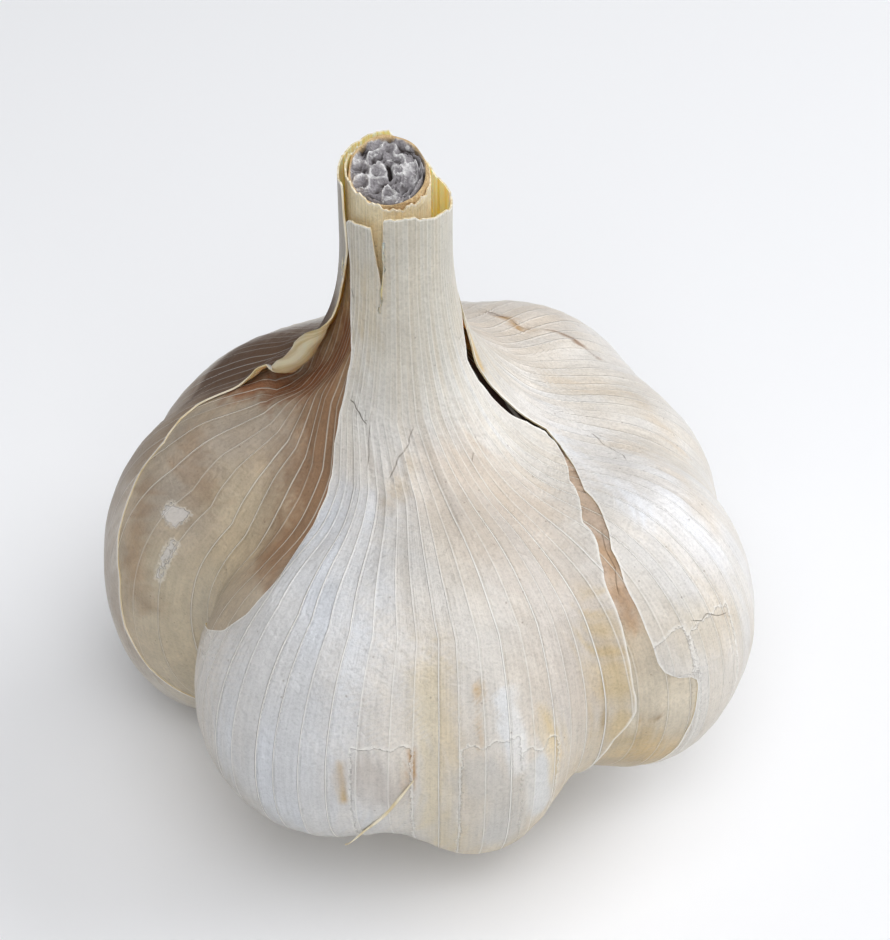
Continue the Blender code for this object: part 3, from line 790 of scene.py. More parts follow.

# %% [markdown]
# ## The front leaf
#
# It covers the front lobes and the front of the neck. Its rim was cut with the neck and has a narrow
# V-shaped notch. Its surface is bleached: white where the pale left lobe is bare, with a painted cool tint of
# the light from the left, pink-beige in the middle, and stained yellow low down, where damp stood between
# the skins. A painted highlight lies at the foot of the neck, and painted shade low on the front.

# %% Choose the colours and flaws of the front leaf
FRONT_TONES = ((0.05, "cfcabc"), (0.16, "d2cdc1"), (0.24, "dedad3"), (0.32, "ddd8d0"), (0.6, "dcd5cb"),
               (0.9, "bcb39e"))
FRONT_SPOTS = (
    # The bare left lobe: pale, with a painted cool tint of the light from the left and below
    Spot("d5d7da", 0.95, 11, 8, ((-121, 0.42), (-118, 0.55), (-113, 0.72))),
    Spot("c8beb3", 0.8, 7, 6, ((-72, 0.3), (-62, 0.42), (-60, 0.56))),
    Spot("dccab6", 0.5, 4, 4, ((-56, 0.27), (-48, 0.36))),
    Spot("ccb482", 0.75, 2.2, 3.5, ((-53.5, 0.53), (-53, 0.64))),
    Spot("a8873c", 0.6, 0.25, 0.5, ((-56, 0.57), (-56.5, 0.64))),
    Spot("d6c6a2", 0.6, 2.2, 2.4, ((-91, 0.53), (-90, 0.64), (-89, 0.72))),
    # A painted highlight at the foot of the neck, on the right
    Spot("ebe9e5", 0.6, 2.5, 3, ((-25, 0.19), (-32, 0.26))),
    # Painted shade low on the front, where the bulb turns under
    Spot("b3afa6", 0.7, 5, 5, ((-128, 0.68), (-112, 0.72), (-100, 0.74))),
    Spot("c09a5a", 0.75, 0.25, 0.8, ((-83, 0.54), (-82.4, 0.59))),
    Spot("b58540", 0.85, 0.35, 0.8, ((-94, 0.59), (-94.5, 0.625))),
    Spot("c4a15c", 0.75, 0.6, 0.8, ((-105.5, 0.6), (-105, 0.635))),
    Spot("dcc184", 0.6, 0.8, 2.0, ((-69, 0.58), (-67.5, 0.65))),
    Spot("d2bf9c", 0.55, 6, 6, ((-60, 0.7), (-75, 0.76), (-95, 0.78))),
    # More painted shade further down, where the front turns under towards the root plate
    Spot("a9a494", 0.6, 5, 6, ((-128, 0.76), (-120, 0.8), (-100, 0.84))),
    Spot("e9e9e8", 0.85, 1.5, 0.6, ((-77.5, 0.55), (-75.5, 0.62))),
    Spot("cdbd9a", 0.5, 1.4, 2.0, ((-127, 0.1), (-122, 0.17))),
    Spot("e3e1da", 0.7, 1.8, 1.5, ((-132, 0.165), (-125, 0.2), (-120, 0.24))),
    Spot("cab79a", 0.45, 1.0, 1.2, ((-88, 0.262), (-103, 0.31))),
    Spot("bdb5ae", 0.65, 3.0, 1.6, ((-102, 0.61), (-98, 0.63))),
    Spot("c9c7c3", 0.65, 3.0, 1.6, ((-83, 0.62), (-78, 0.64), (-78, 0.7))),
    Spot("dadad8", 0.8, 2.2, 0.9, ((-72, 0.63), (-71, 0.68))),
    Spot("b9a888", 0.75, 2.6, 2.5, ((-145, 0.575), (-142, 0.64), (-139, 0.7))),
)
FRONT_FLAKES = (
    (-104, -94.5, 0.588, 0.95),
    (-86, -75, 0.592, 0.95),
    (-75, -67.5, 0.607, 0.95),
    (-140, -137, 0.563, 0.575),
)
FRONT_CRACKS = (
    (1.0, ((-125, 0.209), (-120, 0.21), (-118, 0.215), (-115, 0.218), (-113, 0.224), (-109, 0.229))),
    (0.45, ((-107, 0.213), (-108, 0.228), (-110, 0.242), (-111, 0.26), (-113, 0.275))),
    (0.55, ((-80, 0.226), (-85, 0.237), (-86, 0.243), (-94, 0.256), (-96, 0.264), (-101, 0.28))),
    (0.5, ((-52, 0.265), (-57, 0.275))),
    (0.9, ((-143, 0.117), (-138, 0.12), (-135, 0.126))),
)
print("front leaf:", len(FRONT_SPOTS), "spots,", len(FRONT_FLAKES), "patches,", len(FRONT_CRACKS), "cracks")

# %% [markdown]
# The sheet's columns are spread between the two torn edges, and its rows start at the rim. So the grid
# follows both, and a torn edge is a clean line of vertices, with nothing to cut away.

# %% Lay the front leaf
def lay_front_leaf(columns=208, rows=222):
    piece, across, along = sheet("front_leaf", columns, rows)
    row = np.interp(along, np.linspace(0, 1, rows + 1), even_rows(rows + 1, -85, 0.05, 0.9))
    left, right = edge_at(FRONT_LEFT_EDGE, row, 0, 1), edge_at(FRONT_RIGHT_EDGE, row, 0, 1)
    rim = rim_at(OUTER_RIM, left + (right - left) * across, 0.35, 11)
    down = follow_rim(row, rim)
    left, right = edge_at(FRONT_LEFT_EDGE, down, 0.16, 12), edge_at(FRONT_RIGHT_EDGE, down, 0.2, 14)
    bearing = left + (right - left) * across
    place = survey(bearing, down)
    vein = number_veins(place, FRONT_SPACING, 21)
    level = leaf_relief(place, vein, FRONT_SPACING)
    from_left, from_right = (bearing - left) * place.per_degree, (right - bearing) * place.per_degree
    # The left edge is pressed onto the leaf below, and the right one stands up a little
    lift = -0.12 * np.exp(-from_left / 0.8) * smooth(down, 0.2, 0.28)
    lifted = 0.25 * (1 + wander(down * 40, 0.5, 17)) * smooth(down, 0.38, 0.45)
    lift = lift + lifted * np.exp(-from_right / 1.5)
    edge = np.minimum(np.minimum(from_left, from_right), (down - rim) * place.per_down)
    lay(piece, on_bulb(bearing, down, level + lift), bearing, down)
    crack, opened = cracked(place, FRONT_CRACKS)
    store(piece, vein=vein, gap=FRONT_SPACING * place.per_degree, edge=edge, crack=crack, opened=opened,
          flake=flaked(place, FRONT_FLAKES, 51), paint=painted(place, FRONT_TONES, FRONT_SPOTS, 41))
    thicken(piece, LEAF_THICKNESS, (bleached, inner_face, torn_edge))
    return piece


front_leaf = lay_front_leaf()
finish(front_leaf, "outer_skin", "outer_skin_front")

# %% [markdown]
# ## The back leaf
#
# It wraps the rest of the bulb. On the left its edge stands off the leaf below and is rolled up into a
# thick cream flap at the foot of the neck. On the right it is torn back below a short rounded flap, and a
# white satin film lies in fine wrinkles over the lobe, its shine helped by painted highlights. The upper
# left is dirty brown and darkened further by painted shade, as is the left side of the neck.

# %% Choose the colours and flaws of the back leaf
BACK_TONES = ((0.03, "cbc5b6"), (0.16, "d3cdc1"), (0.3, "dbd5cc"), (0.6, "dcd7cf"), (0.9, "c6bca8"))
BACK_SPOTS = (
    # The upper left is dirty brown, and painted darker still as painted shade on the side turned from the
    # light
    Spot("8a6e50", 0.75, 15, 9, ((168, 0.2), (160, 0.35), (166, 0.5))),
    Spot("52351c", 0.9, 11, 8, ((172, 0.19), (156, 0.27), (152, 0.36), (156, 0.43))),
    Spot("a3907a", 0.7, 5, 5, ((172, 0.5), (180, 0.62), (190, 0.7))),
    # Painted shade on the neck's left side, turned away from the light
    Spot("a39c90", 0.8, 3, 2.5, ((200, 0.03), (200, 0.12))),
    # The white satin film over the right lobe, with painted highlights along its shine, bluish in the
    # brightest streak
    Spot("e6e4e2", 0.8, 8, 7, ((-5, 0.33), (-18, 0.45), (-25, 0.56))),
    Spot("ebeaea", 0.8, 3.5, 4, ((-22, 0.47), (-27, 0.55))),
    Spot("eef0f4", 0.75, 1.5, 1.5, ((-8, 0.335), (-17, 0.365), (-26, 0.41), (-29, 0.44))),
    Spot("d9cbb8", 0.5, 2.0, 2.5, ((0, 0.42), (-10, 0.48), (-18, 0.52))),
    Spot("d2c3ae", 0.6, 1.5, 2.0, ((30, 0.36), (25, 0.46), (10, 0.52))),
    Spot("d8cbbc", 0.6, 7, 5, ((66, 0.3), (60, 0.42))),
    Spot("6e4a30", 0.8, 0.4, 0.35, ((69, 0.362), (62, 0.36))),
    Spot("b18a52", 0.85, 0.6, 0.5, ((62, 0.36), (57, 0.36), (53, 0.38))),
    Spot("8a6238", 0.8, 0.35, 0.35, ((52, 0.393), (50, 0.41), (45, 0.432), (41, 0.463))),
    Spot("b98f5e", 0.9, 0.4, 0.3, ((-29.5, 0.57), (-28.5, 0.576))),
    Spot("d8b878", 0.8, 0.5, 0.5, ((8, 0.16), (-4, 0.19), (-9, 0.215))),
    Spot("cfc2ab", 0.6, 4, 4, ((-35, 0.56), (-28, 0.58))),
    Spot("c9bda8", 0.5, 8, 8, ((30, 0.75), (80, 0.8), (120, 0.78), (170, 0.8))),
    Spot("cbb78c", 0.5, 3, 4, ((95, 0.62), (92, 0.74))),
    Spot("cdb587", 0.5, 2, 3, ((128, 0.5), (130, 0.62))),
    Spot("d9cdb9", 0.5, 7, 6, ((100, 0.3), (98, 0.45))),
    Spot("dfdcd8", 0.6, 7, 6, ((40, 0.55), (38, 0.66))),
)
BACK_FLAKES = (
    (-38, -28, 0.562, 0.95),
    (-45.5, -39, 0.557, 0.595),
    (86, 95, 0.66, 0.95),
)
BACK_CRACKS = (
    (0.9, ((70, 0.362), (66, 0.362), (62, 0.36), (57, 0.36), (54, 0.375))),
    (0.7, ((53, 0.39), (50, 0.41), (45, 0.432), (40, 0.465))),
    (0.7, ((-37, 0.555), (-34.5, 0.562), (-33.5, 0.558), (-31, 0.568), (-28.5, 0.573))),
    (1.0, ((3, 0.381), (0, 0.39), (-4, 0.402), (-9, 0.411))),
    (0.3, ((-38, 0.57), (-38.5, 0.62), (-41, 0.68), (-45, 0.73))),
)
print("back leaf:", len(BACK_SPOTS), "spots,", len(BACK_FLAKES), "patches,", len(BACK_CRACKS), "cracks")

# %% [markdown]
# The flap curled as paper does when one face dries first, round a radius that grows with the flap. So the
# strip along that edge is rolled up by a formula, and what it used up is drawn from the leaf beside it.

# %% Lay the back leaf
def lay_back_leaf(columns=320, rows=144):
    piece, across, along = sheet("back_leaf", columns, rows)
    row = np.interp(along, np.linspace(0, 1, rows + 1), even_rows(rows + 1, 60, 0.035, 0.9))
    right, left = edge_at(BACK_RIGHT_EDGE, row, 0, 1), edge_at(BACK_LEFT_EDGE, row, 0, 1)
    middle = right + (left - right) * across
    rim = rim_at(OUTER_RIM, middle, 0.35, 11)
    down = follow_rim(row, rim)
    right, left = edge_at(BACK_RIGHT_EDGE, down, 0.2, 16), edge_at(BACK_LEFT_EDGE, down, 0.25, 18)
    bearing = right + (left - right) * across
    place = survey(bearing, down)
    vein = number_veins(place, BACK_SPACING, 22)
    level = leaf_relief(place, vein, BACK_SPACING)
    from_left, from_right = (left - bearing) * place.per_degree, (bearing - right) * place.per_degree
    # Wrinkles in the satin film over the right lobe
    film = 1 - smooth(path_distance(place, ((-10, 0.41), (-25, 0.52))), 4, 8)
    level = level + 0.16 * film * wander(place.bearing / 1.7, place.down * 11, 62)
    # The left edge stands off the leaf below, and is rolled up into the flap
    flap = smooth(down, 0.15, 0.175) * (1 - smooth(down, 0.215, 0.24))
    stands = smooth(down, 0.13, 0.18) * (1 - smooth(down, 0.28, 0.37))
    reach, radius = 0.2 + 0.3 * stands + 2.0 * flap, 0.4 + 0.3 * flap
    back, lift = rolled(from_left, reach, radius)
    back = back - np.clip(reach - radius, 0, None) * np.exp(-np.clip(from_left - reach, 0, None) / 4)
    lift = lift + 0.7 * np.exp(-from_left / 3.5) * stands
    lift = lift + 0.22 * flap * np.exp(-from_left / 3) * wander(down * LEAF_LENGTH, from_left * 0.8, 63)
    # Lower down, both edges are pressed onto the leaf below
    lift = lift - 0.18 * np.exp(-from_left / 0.8) * smooth(down, 0.4, 0.5)
    lift = lift - 0.2 * np.exp(-from_right / 0.8) * smooth(down, 0.4, 0.6)
    edge = np.minimum(np.minimum(from_left, from_right), (down - rim) * place.per_down)
    lay(piece, on_bulb(bearing - back / place.per_degree, down, level + lift), bearing, down)
    crack, opened = cracked(place, BACK_CRACKS)
    store(piece, vein=vein, gap=BACK_SPACING * place.per_degree, edge=edge, crack=crack, opened=opened,
          flake=flaked(place, BACK_FLAKES, 53), paint=painted(place, BACK_TONES, BACK_SPOTS, 43))
    thicken(piece, LEAF_THICKNESS, (silky, inner_face, torn_edge))
    return piece


back_leaf = lay_back_leaf()
finish(back_leaf, "outer_skin", "outer_skin_back")

# %% [markdown]
# ## The inner leaf
#
# It is whole, and lies against the other two from below. The window shows it brown and satiny, the split
# shows it tan and wrinkled, and at the lower right it is beige with yellow stains. In the neck it hugs the
# stalk, and beside the neck it sinks into a slit that is painted near black as painted shade. Painted shade
# also darkens it under the flap's edge, and a painted shadow runs along the front leaf's right edge.

# %% Choose the colours and flaws of the inner leaf
# Millimetres between the surface and this leaf, which lies under the others
INNER_LEVEL = -0.3
SLIT = ((-2, 0.17), (-15, 0.2), (-14, 0.225), (-10, 0.25), (-7, 0.275), (-4.5, 0.31), (-10, 0.338))
UNDER_FLAP = ((-148, 0.13), (-158, 0.17), (-172, 0.215), (-190, 0.26))
INNER_TONES = ((0.03, "efe2bf"), (0.1, "e0cc9e"), (0.16, "b8946a"), (0.25, "ab9881"), (0.5, "beae98"),
               (0.9, "cdc0a6"))
INNER_SPOTS = (
    Spot("8e6a4a", 0.85, 7.5, 6, ((-134, 0.24), (-140, 0.35), (-139, 0.45))),
    Spot("a99d8e", 0.8, 5, 5, ((-172, 0.33), (-176, 0.45), (-170, 0.52))),
    Spot("c4b498", 0.8, 5, 5, ((-158, 0.45), (-155, 0.55))),
    Spot("c9bda4", 0.8, 6, 5, ((-165, 0.6), (-160, 0.7))),
    # Brown under the flap's edge, darkened further as painted shade
    Spot("8f5c38", 0.9, 2.6, 2.2, ((-150, 0.15), (-160, 0.185), (-178, 0.24), (-192, 0.29), (-192, 0.34))),
    Spot("9a7a5a", 0.5, 1.6, 2.0, ((-176, 0.53), (-172, 0.57), (-171, 0.6))),
    Spot("9c8268", 0.5, 2.2, 2.5, ((-178, 0.44), (-168, 0.49))),
    Spot("a98e70", 0.6, 2.5, 2.5, ((-172, 0.58), (-168, 0.63))),
    # The slit is painted near black: painted shade in the gap between the skins
    Spot("1c0705", 1.0, 3.4, 0.8, ((4, 0.15), (-8, 0.2), (-7, 0.225), (-4, 0.25), (-1, 0.275), (-1, 0.3),
                                   (-8, 0.325))),
    Spot("ccb7a4", 0.9, 5, 3, ((-20, 0.35), (-40, 0.42), (-47, 0.5))),
    # Painted shadow along the front leaf's lifted right edge, brown like the strip
    Spot("b08c66", 0.7, 0.9, 0.9, ((-42, 0.43), (-46, 0.5), (-47.5, 0.54))),
    Spot("d8cfbd", 0.9, 8, 5, ((-45, 0.62), (-35, 0.64), (-20, 0.66))),
    Spot("c8ac74", 0.7, 3, 4, ((-50, 0.66), (-42, 0.7))),
    Spot("8a6a3c", 0.8, 0.3, 0.5, ((-50, 0.63), (-46, 0.632))),
)
INNER_FLAKES = (
    (-170.6, -166.8, 0.521, 0.535),
    (-166.4, -165, 0.553, 0.593),
)
INNER_CRACKS = (
    (0.5, ((-39, 0.42), (-43, 0.45), (-44, 0.475), (-47, 0.51))),
    (0.3, ((-180, 0.57), (-178.5, 0.62), (-176, 0.68))),
)
print("inner leaf:", len(INNER_SPOTS), "spots,", len(INNER_FLAKES), "patches,", len(INNER_CRACKS), "cracks")

# %% [markdown]
# This sheet goes all the way round, and its two sides are joined into one. It is wrinkled in the split, where
# it dried with nothing on it, and drawn in where shade has to gather: in the slit and under the flap.

# %% Lay the inner leaf
def lay_inner_leaf(columns=330, rows=148):
    piece, across, along = sheet("inner_leaf", columns, rows)
    # The leaf's own ends meet at the back, under the back leaf
    bearing = across * 360 - 260
    around = np.radians(bearing)
    rim = rim_at(INNER_RIM, bearing, 0, 1) + 0.0012 * np.sin(around * 17) + 0.0006 * np.sin(around * 41 + 1)
    row = np.interp(along, np.linspace(0, 1, rows + 1), even_rows(rows + 1, -60, 0.035, 0.9))
    down = follow_rim(row, rim)
    place = survey(bearing, down)
    vein = number_veins(place, INNER_SPACING, 23)
    # In the neck it keeps close to the stalk, which stands off the neck's middle
    beside_stalk = -1.88 - 0.9 * np.cos(around) - 0.33 * np.sin(around)
    in_neck = 1 - smooth(down, 0.12, 0.26)
    level = beside_stalk * in_neck + INNER_LEVEL * (1 - in_neck)
    blend = smooth(np.minimum(across, 1 - across), 0, 0.04)
    level = level + leaf_relief(place, vein, INNER_SPACING) * blend * (1 - in_neck)
    wrinkle = 1 - smooth(path_distance(place, ((-20, 0.36), (-42, 0.43), (-47, 0.55), (-48, 0.64))), 1.5, 4)
    level = level + 0.16 * wrinkle * wander(place.bearing / 1.3, place.down * 16, 61)
    level = level - 1.0 * (1 - smooth(path_distance(place, SLIT), 1.0, 2.6))
    level = level - 1.0 * (1 - smooth(path_distance(place, UNDER_FLAP), 1.0, 4.5))
    lay(piece, on_bulb(bearing, down, level), bearing, down)
    edge = (down - rim) * place.per_down
    crack, opened = cracked(place, INNER_CRACKS)
    store(piece, vein=vein, gap=INNER_SPACING * place.per_degree, edge=edge, crack=crack, opened=opened,
          flake=flaked(place, INNER_FLAKES, 55), paint=painted(place, INNER_TONES, INNER_SPOTS, 45))
    close_seams(0.02 * MM, closed=False)
    thicken(piece, LEAF_THICKNESS, (tan_leaf, inner_face, torn_edge))
    return piece


inner_leaf = lay_inner_leaf()
finish(inner_leaf, "inner_skin", "inner_skin")

# %% [markdown]
# ## The cut stalk
#
# The flower stalk dried inside the neck and was cut across with it. Its end is pith, a grey sponge that
# shrank into folds round a dark pit, with the stalk's own thin wall round it. It is a sheet rolled into a
# tube, with the ends drawn together to points, and the folds are a formula.

# %% Roll the stalk and crumple its cut end
STALK_RADIUS, STALK_FOOT, STALK_FOOT_RADIUS = 5.15, -18.8, 6.5
STALK_TOP, STALK_OFFSET, CUT_SLANT = 64.7, (-0.9, -0.3), 0.38
# How far the pith shrank below the cut, and where its pit is
PITH_DROP, PIT = 0.35, (0.1, 0.1)


def pith_height(x, y):
    """How many millimetres the crumpled pith stands up, and its shares of painted shade and of white crest.
    """
    turn_x, turn_y = x + 0.5 * wander(x * 0.9, y * 0.9, 71), y + 0.5 * wander(x * 0.9, y * 0.9, 72)
    folds = 1 - np.abs(wander(turn_x * 0.6, turn_y * 0.6, 73)) * 2.4
    fine = 1 - np.abs(wander(turn_x * 2.1, turn_y * 2.1, 74)) * 2.2
    from_rim = STALK_RADIUS - np.hypot(x, y)
    rings = np.sin(2 * np.pi * from_rim / 0.62 + wander(x * 1.2, y * 1.2, 75)) * smooth(x - y, -1.0, 2.5)
    rings = rings * (1 - smooth(from_rim, 1.1, 1.9))
    pit = np.exp(-(((turn_x - PIT[0]) / 0.45) ** 2 + ((turn_y - PIT[1]) / 0.8) ** 2))
    height = 0.5 * folds + 0.25 * fine + 0.45 * rings - 1.8 * pit
    return height, smooth(-height, -0.05, 0.45), smooth(folds, 0.5, 0.9)


def roll_stalk(columns=120, rows=150):
    piece, across, along = sheet("cut_stalk", columns, rows)
    angle = 2 * np.pi * across
    # The sheet's first part becomes the cut end, the next the wall, and the last the foot
    end, side = 0.55, 0.93
    on_top, below = along <= end, along >= side
    share = np.where(on_top, along / end, np.where(below, (1 - along) / (1 - side), 1.0))
    height = np.interp(along, (end, side), (STALK_TOP, STALK_FOOT))
    radius = np.interp(height, (STALK_FOOT, -5, 40), (STALK_FOOT_RADIUS, STALK_RADIUS, STALK_RADIUS)) * share
    radius = radius * (1 + 0.025 * np.cos(3 * angle + 1) + 0.015 * np.cos(7 * angle))
    x, y = radius * np.cos(angle), radius * np.sin(angle)
    crumple, shade, crest = pith_height(x, y)
    wall = smooth(radius, STALK_RADIUS - 0.5, STALK_RADIUS - 0.2)
    shrunk = (crumple - PITH_DROP) * (1 - wall)
    groove = 0.06 * np.cos(26 * angle) * (1 - on_top) * (1 - below)
    x, y = x + groove * np.cos(angle), y + groove * np.sin(angle)
    to_neck = smooth(height, 0, FAN_TO_NECK)
    height = height + CUT_SLANT * y * smooth(height, 48, STALK_TOP) + np.where(on_top, shrunk, 0)
    x = x + (NECK_CENTRE[0] + STALK_OFFSET[0]) * to_neck
    y = y + (NECK_CENTRE[1] + STALK_OFFSET[1]) * to_neck
    places = np.stack([x, y, height + BULB_CENTRE_HEIGHT], axis=1) * MM
    piece.data.vertices.foreach_set("co", places.ravel())
    store(piece, pith=np.where(on_top, 1 - wall, 0.0), shade=np.where(on_top, shade, 0.0),
          crest=np.where(on_top, crest, 0.0))
    close_seams(0.01 * MM)
    bpy.ops.object.shade_smooth_by_angle(angle=math.radians(60))
    return piece


cut_stalk = roll_stalk()
finish(cut_stalk, "stalk", "flower_stalk")
print("cut stalk has", len(cut_stalk.data.polygons), "faces")

# %% [markdown]
# Pith is air-filled cell walls, dull and light. As it shrank it went grey-violet, white along the crests of
# its folds, and the floors of the folds and the pit are painted near black as painted shade. Its roughness is
# 0.75. The stalk's wall is straw, with upright fibres.

# %% Make the pith and the stalk's wall
def pith_material():
    material, tree, shader = new_material("dried stalk with shrunken pith")
    place = add(tree, "ShaderNodeTexCoord").outputs["Object"]
    pith, shade, crest = [
        add(tree, STORED, {"attribute_name": value}).outputs["Fac"] for value in ("pith", "shade", "crest")
    ]
    # Cells 0.3 mm across and shreds about 1 mm long
    cells = add(tree, NOISE, Vector=place, Scale=3000.0, Detail=3.0)
    shreds = add(tree, NOISE, Vector=place, Scale=900.0, Detail=2.0, Distortion=1.5)
    broken = add(tree, RANGE, i0=shreds, i1=0.35, i2=0.55, i3=0.2, i4=0.95)
    crest = add(tree, MATH, MULTIPLY, i0=crest, i1=broken)
    white = add(tree, RANGE, i0=shreds, i1=0.6, i2=0.7, i3=0.0, i4=0.7)
    white = add(tree, MATH, {"operation": "MAXIMUM"}, i0=white, i1=crest)
    # Upright fibres 0.3 mm apart on the wall
    upright = add(tree, VECTOR, MULTIPLY, i0=place, i1=(3300.0, 3300.0, 150.0))
    fibre = add(tree, NOISE, Vector=upright, Scale=1.0, Detail=2.0)
    straw = add(tree, MIX, COLOUR, i0=fibre, i6="b58a58", i7="ead2a2")
    colour = "706b6e"
    # The floors of the folds and the pit are painted near black: painted shade
    for share, hex_colour in ((cells, "b4b0b1"), (white, "f0eeec"), (shade, "2e2524")):
        colour = add(tree, MIX, COLOUR, i0=share, i6=colour, i7=hex_colour).outputs[2]
    colour = add(tree, MIX, COLOUR, i0=pith, i6=straw.outputs[2], i7=colour).outputs[2]
    height = add(tree, MATH, SUM, i0=cells, i1=shreds)
    height = add(tree, MATH, MULTIPLY, i0=height, i1=0.3)
    dress(tree, shader, colour, height, roughness=0.75, ior=1.45)
    return material


cut_stalk.data.materials.append(pith_material())
print("pith ready")

# %% [markdown]
# ## The root plate
#
# The roots grew in rings out of a hard disc, and were cut off close. What is left is a corky plate with
# rings of short stubs, flat below, which the bulb stands on. It is a tube whose ends are drawn together,
# like the stalk, and each stub is a bump in it.

# %% Roll the root plate and raise its stubs
PLATE_TOP, PLATE_FLAT_RADIUS = -19.1, 8.6
PLATE_PROFILE = ((0.0, PLATE_FLAT_RADIUS), (0.2, 10.0), (0.5, 10.8), (0.75, 10.4), (1.0, 6.0))
STUBS_AROUND, STUB_HEIGHT = 34, 0.6


def roll_root_plate(columns=272, rows=90):
    piece, across, along = sheet("corky_root_plate", columns, rows)
    angle = 2 * np.pi * across
    # The sheet's first part becomes the top, the next the side, and the last the flat bottom
    top, side = 0.2, 0.7
    height_share = np.interp(along, (0, top, side, 1), (1, 1, 0, 0))
    inward = np.where(along < top, along / top, np.where(along > side, (1 - along) / (1 - side), 1.0))
    radius = np.interp(height_share, *zip(*PLATE_PROFILE)) * inward
    # Three staggered rings of stubs on the side, and round root scars on the flat bottom
    ring = height_share * 3
    stagger = np.floor(ring) * np.pi / STUBS_AROUND
    bump = np.clip(np.cos(STUBS_AROUND * (angle + stagger)), 0, 1) * np.clip(np.sin(np.pi * (ring % 1)), 0, 1)
    luck = 0.7 + 0.3 * wander(STUBS_AROUND * across, np.floor(ring), 81)
    on_side = (along >= top) & (along <= side)
    radius = radius + np.where(on_side, STUB_HEIGHT * (bump * luck - 0.35), 0) * smooth(height_share, 0, 0.08)
    x, y = radius * np.cos(angle), radius * np.sin(angle)
    height = PLATE_TOP * height_share - BULB_CENTRE_HEIGHT * (1 - height_share)
    dish = 0.5 * (1 - smooth(np.hypot(x, y), 2.5, 5.5)) * (along > side)
    scar = 0.25 * np.clip(wander(x * 0.9 + 30, y * 0.9, 82), 0, 1) * (1 - smooth(radius, 6.2, 7.4))
    scar = scar * (along > side)
    places = np.stack([x, y, height + dish + scar + BULB_CENTRE_HEIGHT], axis=1) * MM
    piece.data.vertices.foreach_set("co", places.ravel())
    store(piece, stub=np.where(on_side, bump * luck, 0.3))
    close_seams(0.01 * MM)
    bpy.ops.object.shade_smooth_by_angle(angle=math.radians(60))
    return piece


root_plate = roll_root_plate()
finish(root_plate, "root_plate", "root_plate")
print("root plate has", len(root_plate.data.polygons), "faces")

# %% [markdown]
# Cork grows in dry, dusty layers, with a roughness near 0.85. Soil stays in its hollows, and the cut ends of
# the roots are paler. The cloves below the leaves have a skin of their own, smooth and cream, with streaks
# that run up to the tip. Its gloss is higher, so its roughness is 0.4.

# %% Make the cork and the clove's own skin
def cork_material():
    material, tree, shader = new_material("dry cork with soil in its hollows")
    place = add(tree, "ShaderNodeTexCoord").outputs["Object"]
    stub = add(tree, STORED, {"attribute_name": "stub"}).outputs["Fac"]
    # Crumbs 0.5 mm across
    crumbs = add(tree, NOISE, Vector=place, Scale=2000.0, Detail=4.0, Roughness=0.65)
    share = add(tree, MATH, SUM_OF_PRODUCT, i0=crumbs, i1=0.8, i2=stub)
    share = add(tree, RANGE, i0=share, i1=0.35, i2=1.35, i3=0.0, i4=1.0)
    colour = add(tree, MIX, COLOUR, i0=share, i6="6b543d", i7="cdb994").outputs[2]
    height = add(tree, MATH, MULTIPLY, i0=crumbs, i1=0.5)
    dress(tree, shader, colour, height, roughness=0.85)
    return material


def clove_material():
    material, tree, shader = new_material("clove in its own dry skin")
    place = add(tree, "ShaderNodeTexCoord").outputs["Object"]
    # Streaks 2 mm apart run up the clove
    upright = add(tree, VECTOR, MULTIPLY, i0=place, i1=(500.0, 500.0, 60.0))
    streak = add(tree, NOISE, Vector=upright, Scale=1.0, Detail=3.0)
    colour = add(tree, MIX, COLOUR, i0=streak, i6="d8c49c", i7="f0e6cc").outputs[2]
    height = add(tree, MATH, MULTIPLY, i0=streak, i1=0.2)
    dress(tree, shader, colour, height, roughness=0.4, ior=1.45)
    return material


root_plate.data.materials.append(cork_material())
clove_skin = clove_material()
for clove in CLOVES:
    for slot in bpy.data.objects[clove.name].material_slots:
        slot.material = clove_skin
print("cork and clove skin ready")

# %% [markdown]
# ## A torn fibre
#
# One fibre of the leaf has come away low on the front, and its point stands off the bulb. It is a strip
# that tapers to both ends.

# %% Lay the torn fibre
FIBRE_THICKNESS = 0.18


def lay_fibre():
    piece, across, along = sheet("torn_fibre", 8, 60)
    bearing = np.interp(along, (0, 0.5, 1), (-94, -99, -106.5))
    down = np.interp(along, (0, 0.5, 1), (0.618, 0.66, 0.712))
    width = 0.5 * np.sin(np.pi * np.clip(along * 0.93 + 0.05, 0, 1)) ** 0.7
    stands = 0.25 + 0.9 * smooth(along, 0.7, 1.0)
    # A degree is about 0.6 mm there
    bearing = bearing + (across - 0.5) * width / 0.6
    height = stands + 0.12 * np.cos((across - 0.5) * np.pi)
    lay(piece, on_bulb(bearing, down, height), bearing, down)
    thicken(piece, FIBRE_THICKNESS, (torn_edge, torn_edge, torn_edge))
    return piece


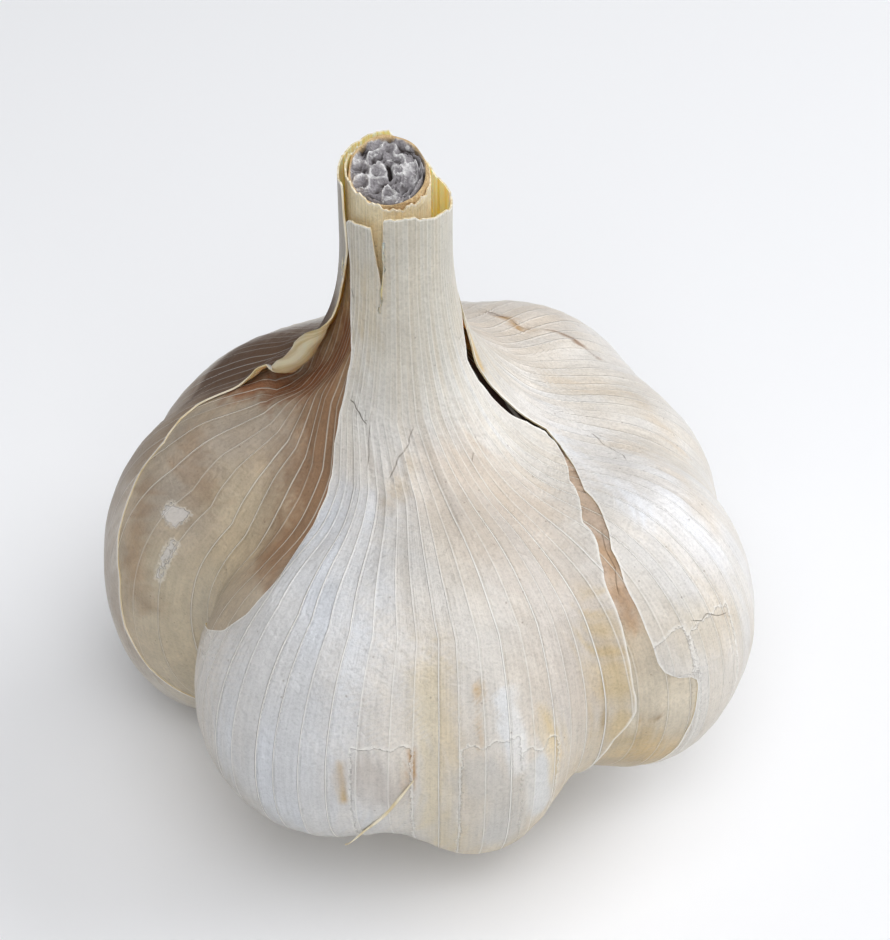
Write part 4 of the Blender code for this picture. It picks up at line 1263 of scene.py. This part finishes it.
torn_fibre = lay_fibre()
finish(torn_fibre, "outer_skin")

# %% [markdown]
# ## The floor
#
# The floor is one wide sheet of matt white paper, with a roughness of 0.9, so that it takes a soft shadow
# and no reflection.

# %% Build the floor
FLOOR_WIDTH = 6


def make_floor():
    bpy.ops.object.select_all(action="DESELECT")
    bpy.ops.mesh.primitive_plane_add(size=FLOOR_WIDTH)
    floor = bpy.context.object
    floor.name = "floor"
    material, _, shader = new_material("matt white paper")
    shader.inputs["Base Color"].default_value = (*linear("f4f4f4"), 1)
    shader.inputs["Roughness"].default_value = 0.9
    floor.data.materials.append(material)
    return floor


floor = make_floor()
print("floor is", floor.dimensions.x, "m wide")

# %% [markdown]
# ## The light
#
# A large soft light stands on the right, like a window, and two more stand in front and above. A weak one on
# the left keeps that side from going black. Each is placed by its bearing and its height over the horizon,
# and turned towards the bulb. The room fills the shade with a dim light, as in a white studio.

# %% Light the bulb
LIGHT_DISTANCE, DAYLIGHT = 1.0, "fbfcff"


def area_light(name, bearing, elevation, size, power):
    bpy.ops.object.light_add(type="AREA")
    light = bpy.context.object
    light.name = name
    turn, rise = math.radians(bearing), math.radians(elevation)
    away = Vector((math.cos(turn) * math.cos(rise), math.sin(turn) * math.cos(rise), math.sin(rise)))
    light.location = away * LIGHT_DISTANCE + BULB_MIDDLE
    light.rotation_euler = away.to_track_quat("Z", "Y").to_euler()
    light.data.size = size
    light.data.energy = power
    light.data.color = linear(DAYLIGHT)
    return light


area_light("window on the right", 20, 32, size=1.0, power=7.6)
area_light("front", -85, 50, size=0.8, power=5.0)
area_light("top", -60, 78, size=0.8, power=3.2)
area_light("left", 158, 40, size=0.6, power=0.9)

world = bpy.data.worlds.new("studio")
world.use_nodes = True
world.node_tree.nodes["Background"].inputs["Color"].default_value = (*linear("f2f5fa"), 1)
world.node_tree.nodes["Background"].inputs["Strength"].default_value = 0.15
bpy.context.scene.world = world
# Colours are shown as they are, with no look of film
bpy.context.scene.view_settings.view_transform = "Standard"
